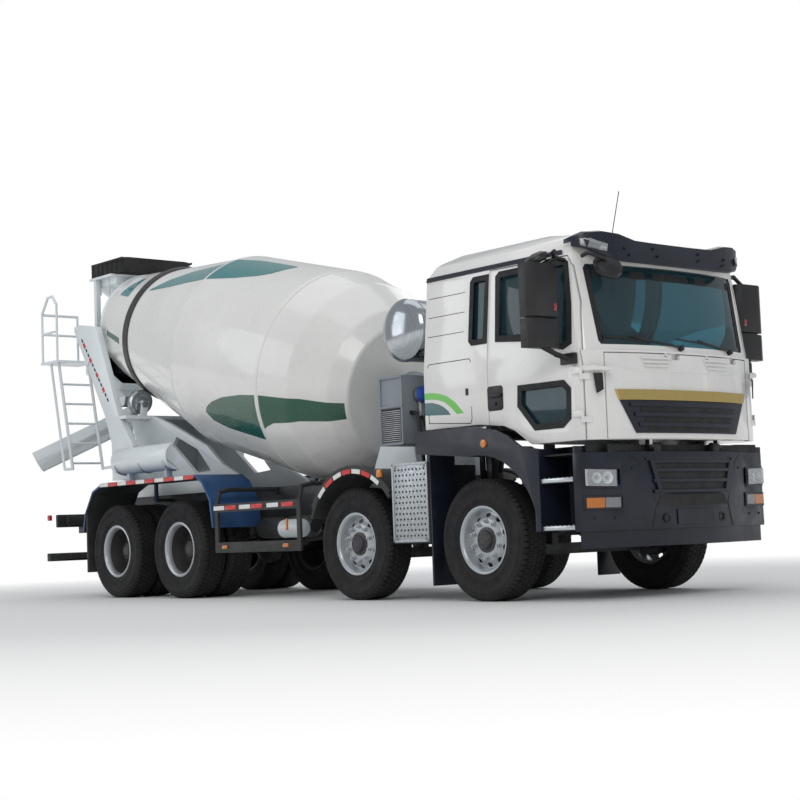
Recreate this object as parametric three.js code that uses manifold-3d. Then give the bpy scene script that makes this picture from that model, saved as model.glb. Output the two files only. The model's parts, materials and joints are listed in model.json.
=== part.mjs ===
// Concrete mixer truck with four axles: a forward-control cab, a twin-steer chassis, a tandem rear
// bogie and a tilted rotating drum with its feed hopper, rollers and discharge chute.
// Millimetres. +X forward, +Y to the truck's left, +Z up, the ground at z = 0.
import * as THREE from 'three';
import { mergeVertices } from 'three/addons/utils/BufferGeometryUtils.js';
import Module from 'manifold-3d';

const wasm = await Module();
wasm.setup();

// ---------------------------------------------------------------- driving dimensions
// Everything along the truck is measured forward from the first axle.
const seat = 0.3; // gap between faces that rest on each other
const panelGap = 10; // running gap round doors and flaps

const steerSpread = 1800; // axle 1 to axle 2
const wheelbase = 3130; // axle 2 to axle 3
const tandemSpread = 1350; // axle 3 to axle 4
const axle1 = 0;
const axle2 = axle1 - steerSpread;
const axle3 = axle2 - wheelbase;
const axle4 = axle3 - tandemSpread;

const tyreRadius = 540; // to the flats, so the tyre stands on a facet
const tyreWidth = 300;
const tyreSides = 20;
const rimRadius = 286;
const rimHalfWidth = 118;
const rimWall = 14;
const axleHeight = tyreRadius;
const frontWheelY = 1080; // middle of a front tyre
const twinMiddleY = 920; // middle of a twin pair
const twinPitch = 346; // between the middles of the two tyres
const kingpinY = 900;
const kingpinRadius = 58;
const spindleRadius = 40;

const railOuter = 430; // half the width over the frame rails
const railWidth = 80;
const railBottom = 760;
const railTop = 1040;
const railFront = 1240;
const frameRear = axle4 - 1640;
const subframeTop = 1190;
const subframeFront = axle1 - 1420;

const bodyHalf = 1245; // half the width over guards and tyres
const cabHalf = 1140; // half the width of the cab at its belt
const cabRoofHalf = 1055; // half the width of the cab at its gutter
const cabRear = -790;
const cabSill = 1345; // underside of the cab ahead of the wheel
const cabRearSill = 1565; // underside of the cab over and behind the wheel
const cabBelt = 2080;
const cabGutter = 2950;
const cabRoof = 3225;
const cabWall = 55;
const cabNose = 1345; // front wall of the cab, behind the flap
const flapThickness = 38;
const cabPivot = [1318, 1288]; // x and z of the tilt axis

const doorRear = 75;
const doorFront = 1196;
const doorThickness = 68;
const doorPin = [1200, 1132]; // x and |y| of the door hinge axis

const drumTilt = 14.4; // degrees, rising to the rear
const ringX = -6620;
const ringZ = 3180;
const ringRadius = 852;
const ringWidth = 110;
const drumWall = 40;
// distance forward of the ring along the drum axis, and the outer radius there
const drumMouth = -950;
const drumFront = 4276;
const drumStations = [
  [drumMouth, 640], [-ringWidth / 2 - 1, 824], [-ringWidth / 2, ringRadius], [ringWidth / 2, ringRadius],
  [ringWidth / 2 + 1, 838], [1550, 1140], [3225, 1158], [3700, 1062], [4120, 850], [drumFront, 700],
];
const drumSides = 32;
const mouthRadius = 500;

const rollerRadius = 150;
const rollerWidth = 100;
const rollerAngle = 32; // degrees each side of the lowest point of the ring

const chutePostX = -7960;
const chuteReach = 1230; // level distance from the post to the chute's lip
const chuteHalf = 235;
const chuteWall = 10;
const chuteBearing = 232; // degrees from +X of the parked chute
const chuteDrop = 24; // degrees the parked chute slopes down
const chuteHinge = 2330;

// ---------------------------------------------------------------- colours
const paint = (name, colour, roughness = 0.5, metalness = 0) =>
  new THREE.MeshStandardMaterial({ name, color: colour, roughness, metalness });
const cabWhite = paint('cab_white', 0xe9e8e2, 0.35);
const mixerWhite = paint('mixer_white', 0xdfe6e8, 0.4);
const drumWhite = paint('drum_white', 0xe6e6e0, 0.35);
const navyPlastic = paint('navy_plastic', 0x16213a, 0.6);
const blackSteel = paint('black_steel', 0x17191b, 0.6, 0.3);
const blackPlastic = paint('black_plastic', 0x121417, 0.7);
const rubber = paint('rubber', 0x1b1c1d, 0.9);
const wheelSteel = paint('wheel_steel', 0xb9c1c9, 0.35, 0.8);
const tintedGlass = paint('tinted_glass', 0x5fa3ad, 0.1);
const bluePlastic = paint('blue_plastic', 0x15539a, 0.5);
const brightSteel = paint('bright_steel', 0xc9ced2, 0.2, 0.9);
const coolerGrey = paint('cooler_grey', 0x7c858c, 0.5, 0.4);
const trimGrey = paint('trim_grey', 0x3a3d42, 0.8);

// ---------------------------------------------------------------- solids
const degrees = Math.PI / 180;

// a closed three.js geometry as a solid, its faces turned outwards
function solid(geometry) {
  const bare = geometry.clone();
  bare.deleteAttribute('normal');
  bare.deleteAttribute('uv');
  const welded = mergeVertices(bare, 1e-3);
  const at = new THREE.Vector3();
  const corners = Array.from({ length: welded.attributes.position.count }, (_, i) =>
    at.fromBufferAttribute(welded.attributes.position, i).clone());
  const faces = [];
  let volume = 0;
  for (let i = 0; i < welded.index.count; i += 3) {
    const [a, b, c] = welded.index.array.slice(i, i + 3);
    if (a === b || b === c || c === a) continue;
    faces.push([a, b, c]);
    volume += corners[a].dot(at.crossVectors(corners[b], corners[c]));
  }
  const outward = volume < 0 ? faces.map(([a, b, c]) => [a, c, b]) : faces;
  return new wasm.Manifold(new wasm.Mesh({
    numProp: 3,
    vertProperties: new Float32Array(welded.attributes.position.array),
    triVerts: new Uint32Array(outward.flat()),
  }));
}

function join(first, ...others) {
  return others.reduce((sum, next) => sum.add(next), first);
}

function cut(body, ...tools) {
  return tools.reduce((rest, tool) => rest.subtract(tool), body);
}

function box(x0, x1, y0, y1, z0, z1) {
  const block = new THREE.BoxGeometry(Math.abs(x1 - x0), Math.abs(y1 - y0), Math.abs(z1 - z0));
  return solid(block.translate((x0 + x1) / 2, (y0 + y1) / 2, (z0 + z1) / 2));
}

function outline(points) {
  return new THREE.Shape(points.map(([u, v]) => new THREE.Vector2(u, v)));
}

function extrude(shape, depth) {
  return new THREE.ExtrudeGeometry(shape, { depth, bevelEnabled: false, curveSegments: 6 });
}

// an outline of (x, z) points carried from y0 to y1
function alongY(points, y0, y1) {
  return solid(extrude(outline(points), Math.abs(y1 - y0)).rotateX(Math.PI / 2)
    .translate(0, Math.max(y0, y1), 0));
}

// an outline of (y, z) points carried from x0 to x1
function alongX(points, x0, x1) {
  return solid(extrude(outline(points), Math.abs(x1 - x0)).rotateX(Math.PI / 2).rotateZ(Math.PI / 2)
    .translate(Math.min(x0, x1), 0, 0));
}

// an outline of (x, y) points carried from z0 to z1
function alongZ(points, z0, z1) {
  return solid(extrude(outline(points), Math.abs(z1 - z0)).translate(0, 0, Math.min(z0, z1)));
}

// a profile of (radius, distance) points turned about the Y axis through the origin
function turned(profile, sides) {
  const points = profile.map(([radius, along]) => new THREE.Vector2(radius, along));
  return new THREE.LatheGeometry(points, sides);
}

// a closed ring profile, its first point repeated
function ring(profile, sides) {
  return turned([...profile, profile[0]], sides);
}

function rod(from, to, radius, sides = 10) {
  const start = new THREE.Vector3(...from);
  const span = new THREE.Vector3(...to).sub(start);
  const bar = new THREE.CylinderGeometry(radius, radius, span.length(), sides);
  const turn = new THREE.Quaternion().setFromUnitVectors(
    new THREE.Vector3(0, 1, 0), span.clone().normalize());
  bar.applyQuaternion(turn);
  const middle = start.addScaledVector(span, 0.5);
  return solid(bar.translate(middle.x, middle.y, middle.z));
}

// a bent tube through a list of points, as straight rods that overlap at the bends
function tube(points, radius, sides = 6) {
  const spans = points.slice(1).map((point, i) => {
    const start = new THREE.Vector3(...points[i]);
    const end = new THREE.Vector3(...point);
    const reach = end.clone().sub(start).setLength(radius * 0.6);
    if (i > 0) start.sub(reach);
    if (i < points.length - 2) end.add(reach);
    return rod(start.toArray(), end.toArray(), radius, sides);
  });
  return join(...spans);
}

const mirrored = (body) => body.mirror([0, 1, 0]);

function arc(centre, radius, fromDegrees, toDegrees, steps) {
  return Array.from({ length: steps + 1 }, (_, i) => {
    const angle = (fromDegrees + (toDegrees - fromDegrees) * i / steps) * degrees;
    return [centre[0] + radius * Math.cos(angle), centre[1] + radius * Math.sin(angle)];
  });
}

const truck = new THREE.Group();

function geometryOf(body) {
  const mesh = body.getMesh();
  const geometry = new THREE.BufferGeometry();
  geometry.setAttribute('position', new THREE.BufferAttribute(new Float32Array(mesh.vertProperties), 3));
  geometry.setIndex(new THREE.BufferAttribute(new Uint32Array(mesh.triVerts), 1));
  geometry.computeVertexNormals();
  return geometry;
}

function add(name, body, material, parent = truck) {
  const mesh = new THREE.Mesh(geometryOf(body), material);
  mesh.name = name;
  parent.add(mesh);
  return mesh;
}

// the same piece on both sides: `body` is the left one, on +Y
function addPair(name, body, material) {
  add(`${name}_left`, body, material);
  add(`${name}_right`, mirrored(body), material);
}

// a group whose own X axis lies along the drum, origin at the middle of the roller ring
const drumGroup = new THREE.Group();
drumGroup.position.set(ringX, 0, ringZ);
drumGroup.rotation.y = drumTilt * degrees;
truck.add(drumGroup);

// x and z of a point `along` the drum axis and `above` it
function onDrum(along, above = 0) {
  const angle = drumTilt * degrees;
  return [
    ringX + along * Math.cos(angle) + above * Math.sin(angle),
    ringZ - along * Math.sin(angle) + above * Math.cos(angle),
  ];
}

// ---------------------------------------------------------------- wheels
// profiles are (radius, distance outward from the middle of the tyre)
const tyreCorner = tyreRadius / Math.cos(Math.PI / tyreSides);

function tyreProfile(middle) {
  const half = tyreWidth / 2;
  return [
    [rimRadius + seat, -rimHalfWidth], [430, -half], [tyreCorner, -half + 34],
    [tyreCorner, half - 34], [430, half], [rimRadius + seat, rimHalfWidth],
  ].map(([radius, along]) => [radius, along + middle]);
}

// half a facet's turn, so that a flat of the tyre meets the ground
function standing(geometry) {
  return solid(geometry).rotate([0, 180 / tyreSides, 0]);
}

const hubInner = 1041 - frontWheelY; // where the hub faces the end of the spindle
const brakeInner = -115;
const frontWheelProfile = [
  [0, hubInner], [50, hubInner], [50, brakeInner], [205, brakeInner], [205, -30], [150, -30], [150, 48],
  [rimRadius - rimWall, 30], [rimRadius - rimWall, -rimHalfWidth], [rimRadius, -rimHalfWidth],
  [rimRadius, rimHalfWidth], [rimRadius - rimWall, rimHalfWidth], [rimRadius - rimWall, 50],
  [165, 76], [115, 76], [115, 120], [0, 120],
];

const frontAxles = [[1, axle1], [2, axle2]];
for (const [number, x] of frontAxles) {
  const tyre = standing(ring(tyreProfile(0), tyreSides)).translate([x, frontWheelY, axleHeight]);
  const wheel = standing(turned(frontWheelProfile, tyreSides)).translate([x, frontWheelY, axleHeight]);
  addPair(`tyre_${number}`, tyre, rubber);
  addPair(`wheel_${number}`, wheel, wheelSteel);
}

// twin wheels: two tyres on two rims bolted back to back, the hub standing out through the outer rim
const twinHubInner = -100;
const twinHubOuter = 190;
const tyreBite = 4; // how far a rim stands into its tyre, so that the pair is one body
const twinRim = (middle) => [
  [rimRadius - rimWall, middle - rimHalfWidth], [rimRadius + tyreBite, middle - rimHalfWidth],
  [rimRadius + tyreBite, middle + rimHalfWidth], [rimRadius - rimWall, middle + rimHalfWidth],
];
const hubSides = 12;
const twinHub = [
  [0, twinHubInner], [170, twinHubInner], [170, -14], [rimRadius, -72], [rimRadius, -56],
  [190, 0], [rimRadius, 56], [rimRadius, 72], [125, 22], [125, twinHubOuter], [0, twinHubOuter],
];
for (const [number, x] of [[3, axle3], [4, axle4]]) {
  const wheels = join(
    solid(turned(twinHub, hubSides)),
    ...[-twinPitch / 2, twinPitch / 2].flatMap((middle) => [
      standing(ring(tyreProfile(middle), tyreSides)),
      standing(ring(twinRim(middle), tyreSides)),
    ]),
  );
  addPair(`twin_wheel_${number}`, wheels.translate([x, twinMiddleY, axleHeight]), rubber);
}

// ---------------------------------------------------------------- front axles and knuckles
const springY = [352, railOuter];
const springHalf = 700;
const beamBottom = 385;
const beamTop = 485;
const eyeTop = 505; // the knuckle stands on the beam's eye
const knuckleTop = 660;

for (const [number, x] of frontAxles) {
  const half = join(
    box(x - 45, x + 45, 0, kingpinY, beamBottom, beamTop),
    rod([x, kingpinY, beamBottom], [x, kingpinY, eyeTop], kingpinRadius, 12),
    box(x - 80, x + 80, ...springY, beamTop - 10, 600),
    alongY([
      [x - springHalf, 700], [x - springHalf, 672], [x - 350, 610], [x - 120, 580], [x + 120, 580],
      [x + 350, 610], [x + springHalf, 672], [x + springHalf, 700], [x + 350, 665], [x + 120, 650],
      [x - 120, 650], [x - 350, 665],
    ], ...springY),
    ...[-1, 1].map((end) => alongY([
      [x + end * (springHalf - 60), 660], [x + end * (springHalf + 40), 660],
      [x + end * (springHalf + 40), railBottom - seat], [x + end * (springHalf - 60), railBottom - seat],
    ], ...springY)),
  );
  add(`front_axle_${number}`, half.add(mirrored(half)), blackSteel);
  const knuckle = join(
    rod([x, kingpinY, eyeTop + seat], [x, kingpinY, knuckleTop], kingpinRadius, 12),
    rod([x, kingpinY, axleHeight + 5], [x, 1041 - seat, axleHeight + 5], spindleRadius, 12),
  );
  addPair(`knuckle_${number}`, knuckle, blackSteel);
}

// ---------------------------------------------------------------- rear bogie
const bogieX = (axle3 + axle4) / 2;
const housingRadius = 75;
const twinHubY = twinMiddleY + twinHubInner;
const bogieHalf = join(
  ...[axle3, axle4].flatMap((x) => [
    rod([x, -10, axleHeight], [x, twinHubY - seat, axleHeight], housingRadius, 12),
    box(x - 70, x + 70, ...springY, axleHeight + 40, 640),
  ]),
  alongY([
    [axle4 - 90, 630], [axle3 + 90, 630], [bogieX + 350, 720], [bogieX, 745], [bogieX - 350, 720],
  ], ...springY),
  box(bogieX - 130, bogieX + 130, 300, railOuter - 5, 640, railBottom - seat),
);
const differentials = [axle3, axle4].map((x) =>
  solid(new THREE.SphereGeometry(200, 12, 6).scale(1, 0.75, 1).translate(x, 0, axleHeight)));
add('rear_bogie', join(bogieHalf, mirrored(bogieHalf), ...differentials), blackSteel);

// ---------------------------------------------------------------- chassis frame
const rail = (y0, y1) => join(
  box(frameRear, railFront, y0, y1, railBottom, railTop),
  box(frameRear, subframeFront, y0, y1, railTop - 5, subframeTop),
);
const railInner = railOuter - railWidth;
const crossMembers = [railFront - 60, -820, subframeFront - 60, -3300, bogieX + 380, bogieX - 380, frameRear + 60];
const cabRestX = -720; // where the cab's rear end rests on the frame
const pivotRadius = 34;
const pivotLug = alongY([
  [railFront - 60, railTop - 100], [railFront, railTop - 100], [cabPivot[0] + pivotRadius - 6, 1190],
  ...arc(cabPivot, pivotRadius, 0, 180, 6), [railFront - 60, 1150],
], railInner, railOuter);
const frameHalf = join(
  rail(railInner, railOuter),
  box(cabRestX - 40, cabRestX + 40, railInner, railOuter, railTop - 5, cabRearSill - seat),
  pivotLug,
);
const frame = join(
  frameHalf, mirrored(frameHalf),
  ...crossMembers.map((x) => box(x - 50, x + 50, -railInner - 5, railInner + 5, railBottom + 60, railTop - 30)),
  box(cabRestX - 40, cabRestX + 40, -railInner - 5, railInner + 5, cabRearSill - 90, cabRearSill - seat),
);
add('chassis_frame', frame, blackSteel);

const engine = join(
  box(-560, 640, -railInner + seat, railInner - seat, 640, 1010),
  box(-500, 600, -230, 230, 1000, 1330),
  box(-720, -550, -170, 170, 700, 1010),
);
add('engine_block', engine, coolerGrey);

// ---------------------------------------------------------------- side equipment
const tankFront = axle2 - 900;
const tankRear = tankFront - 1050;
const hangers = (positions, y, z) => positions.map((x) =>
  box(x - 30, x + 30, railOuter + seat, y, z - 40, z + 40));
add('fuel_tank', join(
  box(tankRear, tankFront, 640, 1190, 520, 1020),
  ...hangers([tankRear + 200, tankFront - 200], 650, 850),
), brightSteel);

const boxFront = -668;
const boxRear = -1150;
const shieldTop = 1270;
const boxes = join(
  box(boxRear, boxFront, 650, bodyHalf - 16, 545, shieldTop - 30),
  box(boxRear - 30, boxFront, bodyHalf - 20, bodyHalf - 5, 530, shieldTop),
  ...hangers([boxRear + 90, boxFront - 90], 660, 900),
);
add('battery_box_left', boxes, blackSteel);
add('exhaust_box_right', mirrored(boxes), brightSteel);

// guards between the second and third axles: two rails on posts, held off the frame by arms
const guardFront = axle2 - 850;
const guardRear = guardFront - 1540;
const guardPosts = [guardFront - 30, guardRear + 30];
const sideGuard = join(
  box(guardRear, guardFront, bodyHalf - 30, bodyHalf - 5, 490, 600),
  box(guardRear, guardFront, bodyHalf - 30, bodyHalf - 5, 920, 1010),
  ...guardPosts.map((x) => box(x - 30, x + 30, bodyHalf - 30, bodyHalf - 5, 490, 1010)),
  ...guardPosts.map((x) => tube(
    [[x, bodyHalf - 20, 995], [x, bodyHalf - 60, 1140], [x, bodyHalf - 180, 1165], [x, railOuter + 26, 1165]], 25)),
  ...guardPosts.map((x) => box(x - 35, x + 35, railOuter + seat, railOuter + 30, 1120, 1185)),
);
addPair('side_guard', sideGuard, blackPlastic);

// ---------------------------------------------------------------- mudguards
// a strip that follows `inside` and stands `thick` off it, both lists of (x, z)
function strip(inside, outside, y0, y1) {
  return alongY([...inside, ...outside.slice().reverse()], y0, y1);
}

const guardInner = 690;
const guardOuter = 725;
const wheel2 = [axle2, axleHeight];
const archBracket = (x, top) => join(
  box(x - 25, x + 25, railOuter + seat, 730, 1110, 1150),
  box(x - 25, x + 25, 700, 730, 1110, top),
);
const mudguard2 = join(
  strip(arc(wheel2, guardInner, 37, 158, 14), arc(wheel2, guardOuter, 37, 158, 14), 690, bodyHalf),
  strip(arc(wheel2, guardOuter - 5, 40, 150, 12), arc(wheel2, guardOuter + 35, 40, 150, 12),
    bodyHalf - 30, bodyHalf),
  archBracket(axle2, axleHeight + guardInner + 8),
);
addPair('mudguard_2', mudguard2, blackPlastic);

const rearGuardTop = 1350;
const rearGuardCurve = (offset) => [
  [axle3 + 690 + offset, 760], [axle3 + 640 + offset, 1060], [axle3 + 500 + offset * 0.7, 1250 + offset * 0.7],
  [axle3 + 380, rearGuardTop - 28 + offset], [axle4 - 280, rearGuardTop - 28 + offset],
  [axle4 - 500 - offset * 0.7, 1240 + offset * 0.7], [axle4 - 680 - offset, 1000],
  [axle4 - 740 - offset, 780],
];
const rearMudguard = join(
  strip(rearGuardCurve(0), rearGuardCurve(28), 610, bodyHalf),
  box(axle4 - 690, axle4 - 660, 620, bodyHalf - 10, 300, 1050),
  ...[axle3 + 100, axle4 - 60].map((x) => join(
    box(x - 25, x + 25, railOuter + seat, 650, 1110, 1150),
    box(x - 25, x + 25, 620, 650, 1110, rearGuardTop - 20))),
);
addPair('rear_mudguard', rearMudguard, bluePlastic);

// ---------------------------------------------------------------- front wheel arches and steps
const archInner = 745;
const wheel1 = [axle1, axleHeight];
const stepFront = 1180;
const stepRear = 700;
const archLow = [[-820, 1345], ...arc(wheel1, archInner, 98, 12, 10)];
const archTop = [
  [stepRear + 70, cabSill - panelGap - 40], [555, cabSill - panelGap - 8], [372, 1440], [240, 1490],
  [-40, cabRearSill - panelGap - 12], [-820, cabRearSill - panelGap - 5],
];
const stepTreads = [630, 1030];
const stepFoot = stepTreads[0] - 35;
const steps = join(
  alongY([...archLow, [stepRear + 70, 700], ...archTop], bodyHalf - 35, bodyHalf),
  alongY([...archLow, [stepRear + 70, 700], [stepRear + 70, 1180], [560, 1240], [300, 1350], [-820, 1375]],
    860, bodyHalf - 30),
  box(-662, -640, 930, bodyHalf - 10, 140, 760),
  box(-664, -642, 930, bodyHalf - 10, 740, 1375),
  box(-820, -650, 930, bodyHalf - 10, 1340, 1375),
  // the step well: back wall, ends and treads
  box(stepRear + 5, stepFront, 860, 885, stepFoot, cabSill - panelGap - 40),
  box(stepRear + 5, stepRear + 70, 860, bodyHalf, stepFoot, cabSill - panelGap - 40),
  box(stepFront - 25, stepFront, 860, bodyHalf - 20, stepFoot, cabSill - panelGap - 40),
  ...stepTreads.map((z) => box(stepRear + 40, stepFront, 870, bodyHalf - 15, z - 35, z)),
  box(stepRear + 120, stepRear + 200, railOuter + seat, 870, 800, 880),
  box(stepFront - 120, stepFront - 40, railOuter + seat, 870, 800, 880),
  box(-820, -760, railOuter + seat, 940, 1345, 1375),
  box(-820, -760, railOuter + seat, railOuter + 25, 960, 1375),
);
addPair('entry_steps', steps, navyPlastic);

// ---------------------------------------------------------------- bumper
// half of the bumper's plan, from its middle to its side, as (x, y)
const noseX = 1432;
const bumperPlan = (inset) => [
  [noseX - inset, 0], [noseX - 6 - inset, 300], [noseX - 40 - inset, 560],
  [noseX - 105 - inset, 800], [noseX - 150 - inset, 1000], [1240 - inset * 0.7, 1180 - inset * 0.5],
  [stepFront + panelGap, bodyHalf - inset],
];
const planBand = (plan, inset, z0, z1) => {
  const outer = plan(0);
  const inner = plan(inset);
  const half = alongZ([...outer, ...inner.slice().reverse()], z0, z1);
  return half.add(mirrored(half));
};
const bumperTop = 1240;
const bumperFoot = 580;
const bumperDepth = 48;
const grilleOpening = alongX([[-430, 1110], [430, 1110], [350, 890], [-350, 890]], 1200, 1600);
const lampPocket = (z0, z1, y0, y1) => box(1290, 1600, y0, y1, z0, z1);
const bumperShell = cut(
  planBand(bumperPlan, bumperDepth, bumperFoot, bumperTop),
  grilleOpening,
);
const lampPockets = join(lampPocket(965, 1095, 815, 1090), lampPocket(770, 862, 800, 1075));
const lampBacks = alongZ([
  [1200, 780], [1265, 780], [1230, 1110], [1185, 1110],
], 740, 1120);
const bumperBrackets = join(
  box(railFront + seat, noseX - bumperDepth + 10, railInner, railOuter, 780, 930),
  box(1260, 1300, -railInner - 5, railInner + 5, 790, 860),
);
const underBeam = planBand((inset) => bumperPlan(inset + 45).map(([x, y]) => [x, Math.min(y, 1190)]), 60,
  440, bumperFoot + 10);
const bumper = join(
  cut(bumperShell, lampPockets, mirrored(lampPockets)), underBeam,
  bumperBrackets, mirrored(bumperBrackets), lampBacks, mirrored(lampBacks),
  ...[960, 1035].map((z) => box(noseX - 50, noseX - 30, -430, 430, z - 12, z + 12)),
);
add('front_bumper', bumper, navyPlastic);

// ---------------------------------------------------------------- drum drive and tank
const pedestalX = onDrum(4700)[0];
const gearboxRadius = 235;
const gearboxFront = 4990;
const gearboxRear = drumFront;
const pedestalFoot = subframeTop + seat;
const pedestalSide = (y0, y1) => alongY([
  [pedestalX - 420, pedestalFoot], [pedestalX + 330, pedestalFoot], [pedestalX + 200, 1800],
  [pedestalX - 120, 1800],
], y0, y1);
const cradle = (low, high) => alongY([
  onDrum(4480, low), onDrum(4900, low), onDrum(4900, high), onDrum(4480, high),
], -230, 230);
const pedestal = join(
  pedestalSide(railInner, railOuter), mirrored(pedestalSide(railInner, railOuter)),
  alongY([[pedestalX - 120, 1500], [pedestalX + 240, 1500], [pedestalX + 215, 1690], [pedestalX - 120, 1690]],
    -railInner - 5, railInner + 5),
  cradle(-500, -gearboxRadius - seat),
);
add('drum_pedestal', pedestal, mixerWhite);

const gearbox = new THREE.LatheGeometry([
  [0, gearboxRear + seat], [150, gearboxRear + seat], [150, 4420], [gearboxRadius, 4440], [gearboxRadius, 4860],
  [130, 4880], [130, gearboxFront], [0, gearboxFront],
].map(([radius, along]) => new THREE.Vector2(radius, along)), 20).rotateZ(-Math.PI / 2);
add('drum_gearbox', solid(gearbox), coolerGrey, drumGroup);

const tankX = -1255;
const tankZ = 2560;
const tankRadius = 300;
const tankHalf = 960;
const tankProfile = [
  [0, -tankHalf], [150, -tankHalf + 12], [tankRadius, -tankHalf + 60], [tankRadius, tankHalf - 60],
  [150, tankHalf - 12], [0, tankHalf],
];
const tankFrameX = subframeFront + 10;
const tankPost = (side) => join(
  alongY([[tankFrameX - 130, subframeTop + seat], [tankFrameX - 20, subframeTop + seat],
    [tankX + 60, tankZ - tankRadius + 60], [tankX - 60, tankZ - tankRadius + 60]],
    side * railInner, side * railOuter),
);
const waterTank = join(
  solid(turned(tankProfile, 24)).translate([tankX, 0, tankZ]),
  tankPost(1), tankPost(-1),
);
add('water_tank', waterTank, brightSteel);

const coolerX = [-1640, -1300];
const coolerZ = [1470, 2140];
add('hydraulic_cooler', mirrored(join(
  box(...coolerX, 560, 980, ...coolerZ),
  box(coolerX[0] + 60, coolerX[1] - 60, railOuter + seat, 600, 1500, 1560),
  box(coolerX[0] + 60, coolerX[1] - 60, railOuter + seat, railOuter + 40, 1120, 1560),
)), coolerGrey);

// ---------------------------------------------------------------- drum and rollers
// the shell inside is the same profile, one wall smaller
const drumInside = drumStations.filter(([, radius]) => radius !== ringRadius)
  .map(([along, radius]) => [Math.min(along, drumFront - drumWall), radius - drumWall]);
const drumProfile = [
  [0, drumFront], ...drumStations.slice().reverse().map(([along, radius]) => [radius, along]),
  [mouthRadius, drumMouth], [mouthRadius, drumMouth + drumWall],
  [drumInside[0][1], drumMouth + drumWall],
  ...drumInside.slice(1).map(([along, radius]) => [radius, along]), [0, drumFront - drumWall],
];
const drum = turned(drumProfile, drumSides).rotateZ(-Math.PI / 2);
add('drum', solid(drum), drumWhite, drumGroup);

const shaftRadius = 28;
const shaftHalf = 95;
const rollerGap = 3;
const rollerSpread = ringRadius + rollerRadius + rollerGap;
const rollerY = rollerSpread * Math.sin(rollerAngle * degrees);
const rollerDrop = rollerSpread * Math.cos(rollerAngle * degrees);
const rollerProfile = [
  [0, -shaftHalf], [shaftRadius, -shaftHalf], [shaftRadius, -rollerWidth / 2],
  [rollerRadius, -rollerWidth / 2], [rollerRadius, rollerWidth / 2], [shaftRadius, rollerWidth / 2],
  [shaftRadius, shaftHalf], [0, shaftHalf],
];
for (const [side, sign] of [['left', 1], ['right', -1]]) {
  const roller = solid(turned(rollerProfile, 20).rotateZ(-Math.PI / 2));
  add(`drum_roller_${side}`, roller.translate([0, sign * rollerY, -rollerDrop]), brightSteel, drumGroup);
}

// ---------------------------------------------------------------- rear stand
const standFoot = subframeTop + seat;
const standInner = 400;
const standOuter = 450;
const rollerBed = 2178;
const legInner = 730;
const legOuter = 810;
const standSide = cut(
  alongY([
    [-7080, standFoot], [-7060, 1850], [-7200, rollerBed], [-6700, rollerBed], [-6300, 2050], [-5500, 1730],
    [-5200, 1500], [-4750, 1300], [-4700, standFoot],
  ], standInner, standOuter),
  alongY([[-6150, 1880], [-5700, 1700], [-5430, 1440], [-5750, 1420], [-6250, 1780]],
    standInner - 10, standOuter + 10),
);
const leg = alongY([
  [-7060, 1400], [-6600, 1400], [-6560, 1800], [-6880, 2180], [-7390, 3340], [-7810, 3410], [-7930, 3340],
  [-7210, 2210], [-7060, 1850],
], legInner, legOuter);
const hopperRimBottom = 4010;
const hopperPostY = [470, 530];
const rollerLug = (near, far) => alongY([
  onDrum(near, -rollerDrop + 36), onDrum(far, -rollerDrop + 36),
  onDrum(far, -rollerDrop - 225), onDrum(near, -rollerDrop - 225),
], rollerY - 42, rollerY + 42);
const chuteBearingTop = 1600;
const standHalf = join(
  standSide, leg,
  box(-7040, -6700, standInner, legOuter, 1400, 1480),
  box(-7200, -6700, -5, legOuter, rollerBed - 40, rollerBed),
  rollerLug(shaftHalf + seat, shaftHalf + 32), rollerLug(-shaftHalf - seat, -shaftHalf - 32),
  box(-7930, -7840, -5, legOuter, 3335, 3395),
  box(-7900, -7840, ...hopperPostY, 3380, hopperRimBottom - seat),
  box(frameRear + 20, -7070, railInner, railOuter, standFoot, standFoot + 90),
  box(frameRear + 20, frameRear + 120, -5, railOuter, standFoot, standFoot + 90),
  box(chutePostX - 70, frameRear + 120, -5, 75, standFoot + 20, chuteBearingTop),
  box(-7080, -7040, -5, standOuter, 1500, 2170),
);
const stand = join(standHalf, mirrored(standHalf));
add('rear_stand', stand, mixerWhite);

// ---------------------------------------------------------------- feed hopper, collar and funnel
// a tapering shell: a side outline and a front outline, both carried through and intersected
const taper = (side, front, reach) =>
  alongY(side, -reach, reach).intersect(alongX(front, side[0][0] - 1500, side[0][0] + 1500));
const hopperTop = 4040;
const hopperOuter = taper(
  [[-7950, hopperTop], [-7450, hopperTop], [-7490, 3840], [-7330, 3655], [-7310, 3500], [-7550, 3500],
    [-7850, 3740], [-7950, 3900]],
  [[-455, hopperTop], [-455, 3930], [-200, 3690], [-200, 3400], [200, 3400], [200, 3690], [455, 3930],
    [455, hopperTop]], 600);
const hopperInner = taper(
  [[-7938, hopperTop + 20], [-7462, hopperTop + 20], [-7500, 3850], [-7345, 3643], [-7260, 3643],
    [-7260, 3512], [-7546, 3512], [-7842, 3748], [-7938, 3906]],
  [[-443, hopperTop + 20], [-443, 3934], [-188, 3696], [-188, 3300], [188, 3300], [188, 3696], [443, 3934],
    [443, hopperTop + 20]], 600);
const hopperRim = cut(
  box(-7985, -7440, -545, 545, hopperRimBottom, hopperTop),
  box(-7938, -7462, -443, 443, hopperRimBottom - 20, hopperTop + 20),
);
add('feed_hopper', cut(join(hopperOuter, hopperRim), hopperInner), mixerWhite);

const collarTop = 4225;
const collarFoot = hopperTop + seat;
const collarPlan = (inset) => [
  [-7975 + inset, -520 + inset], [-7240 - inset, -500 + inset], [-7200 - inset, -420],
  [-7200 - inset, 420], [-7240 - inset, 500 - inset], [-7975 + inset, 520 - inset],
];
add('hopper_collar', cut(
  alongZ(collarPlan(0), collarFoot, collarTop), alongZ(collarPlan(16), collarFoot - 10, collarTop + 10),
), rubber);

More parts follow.
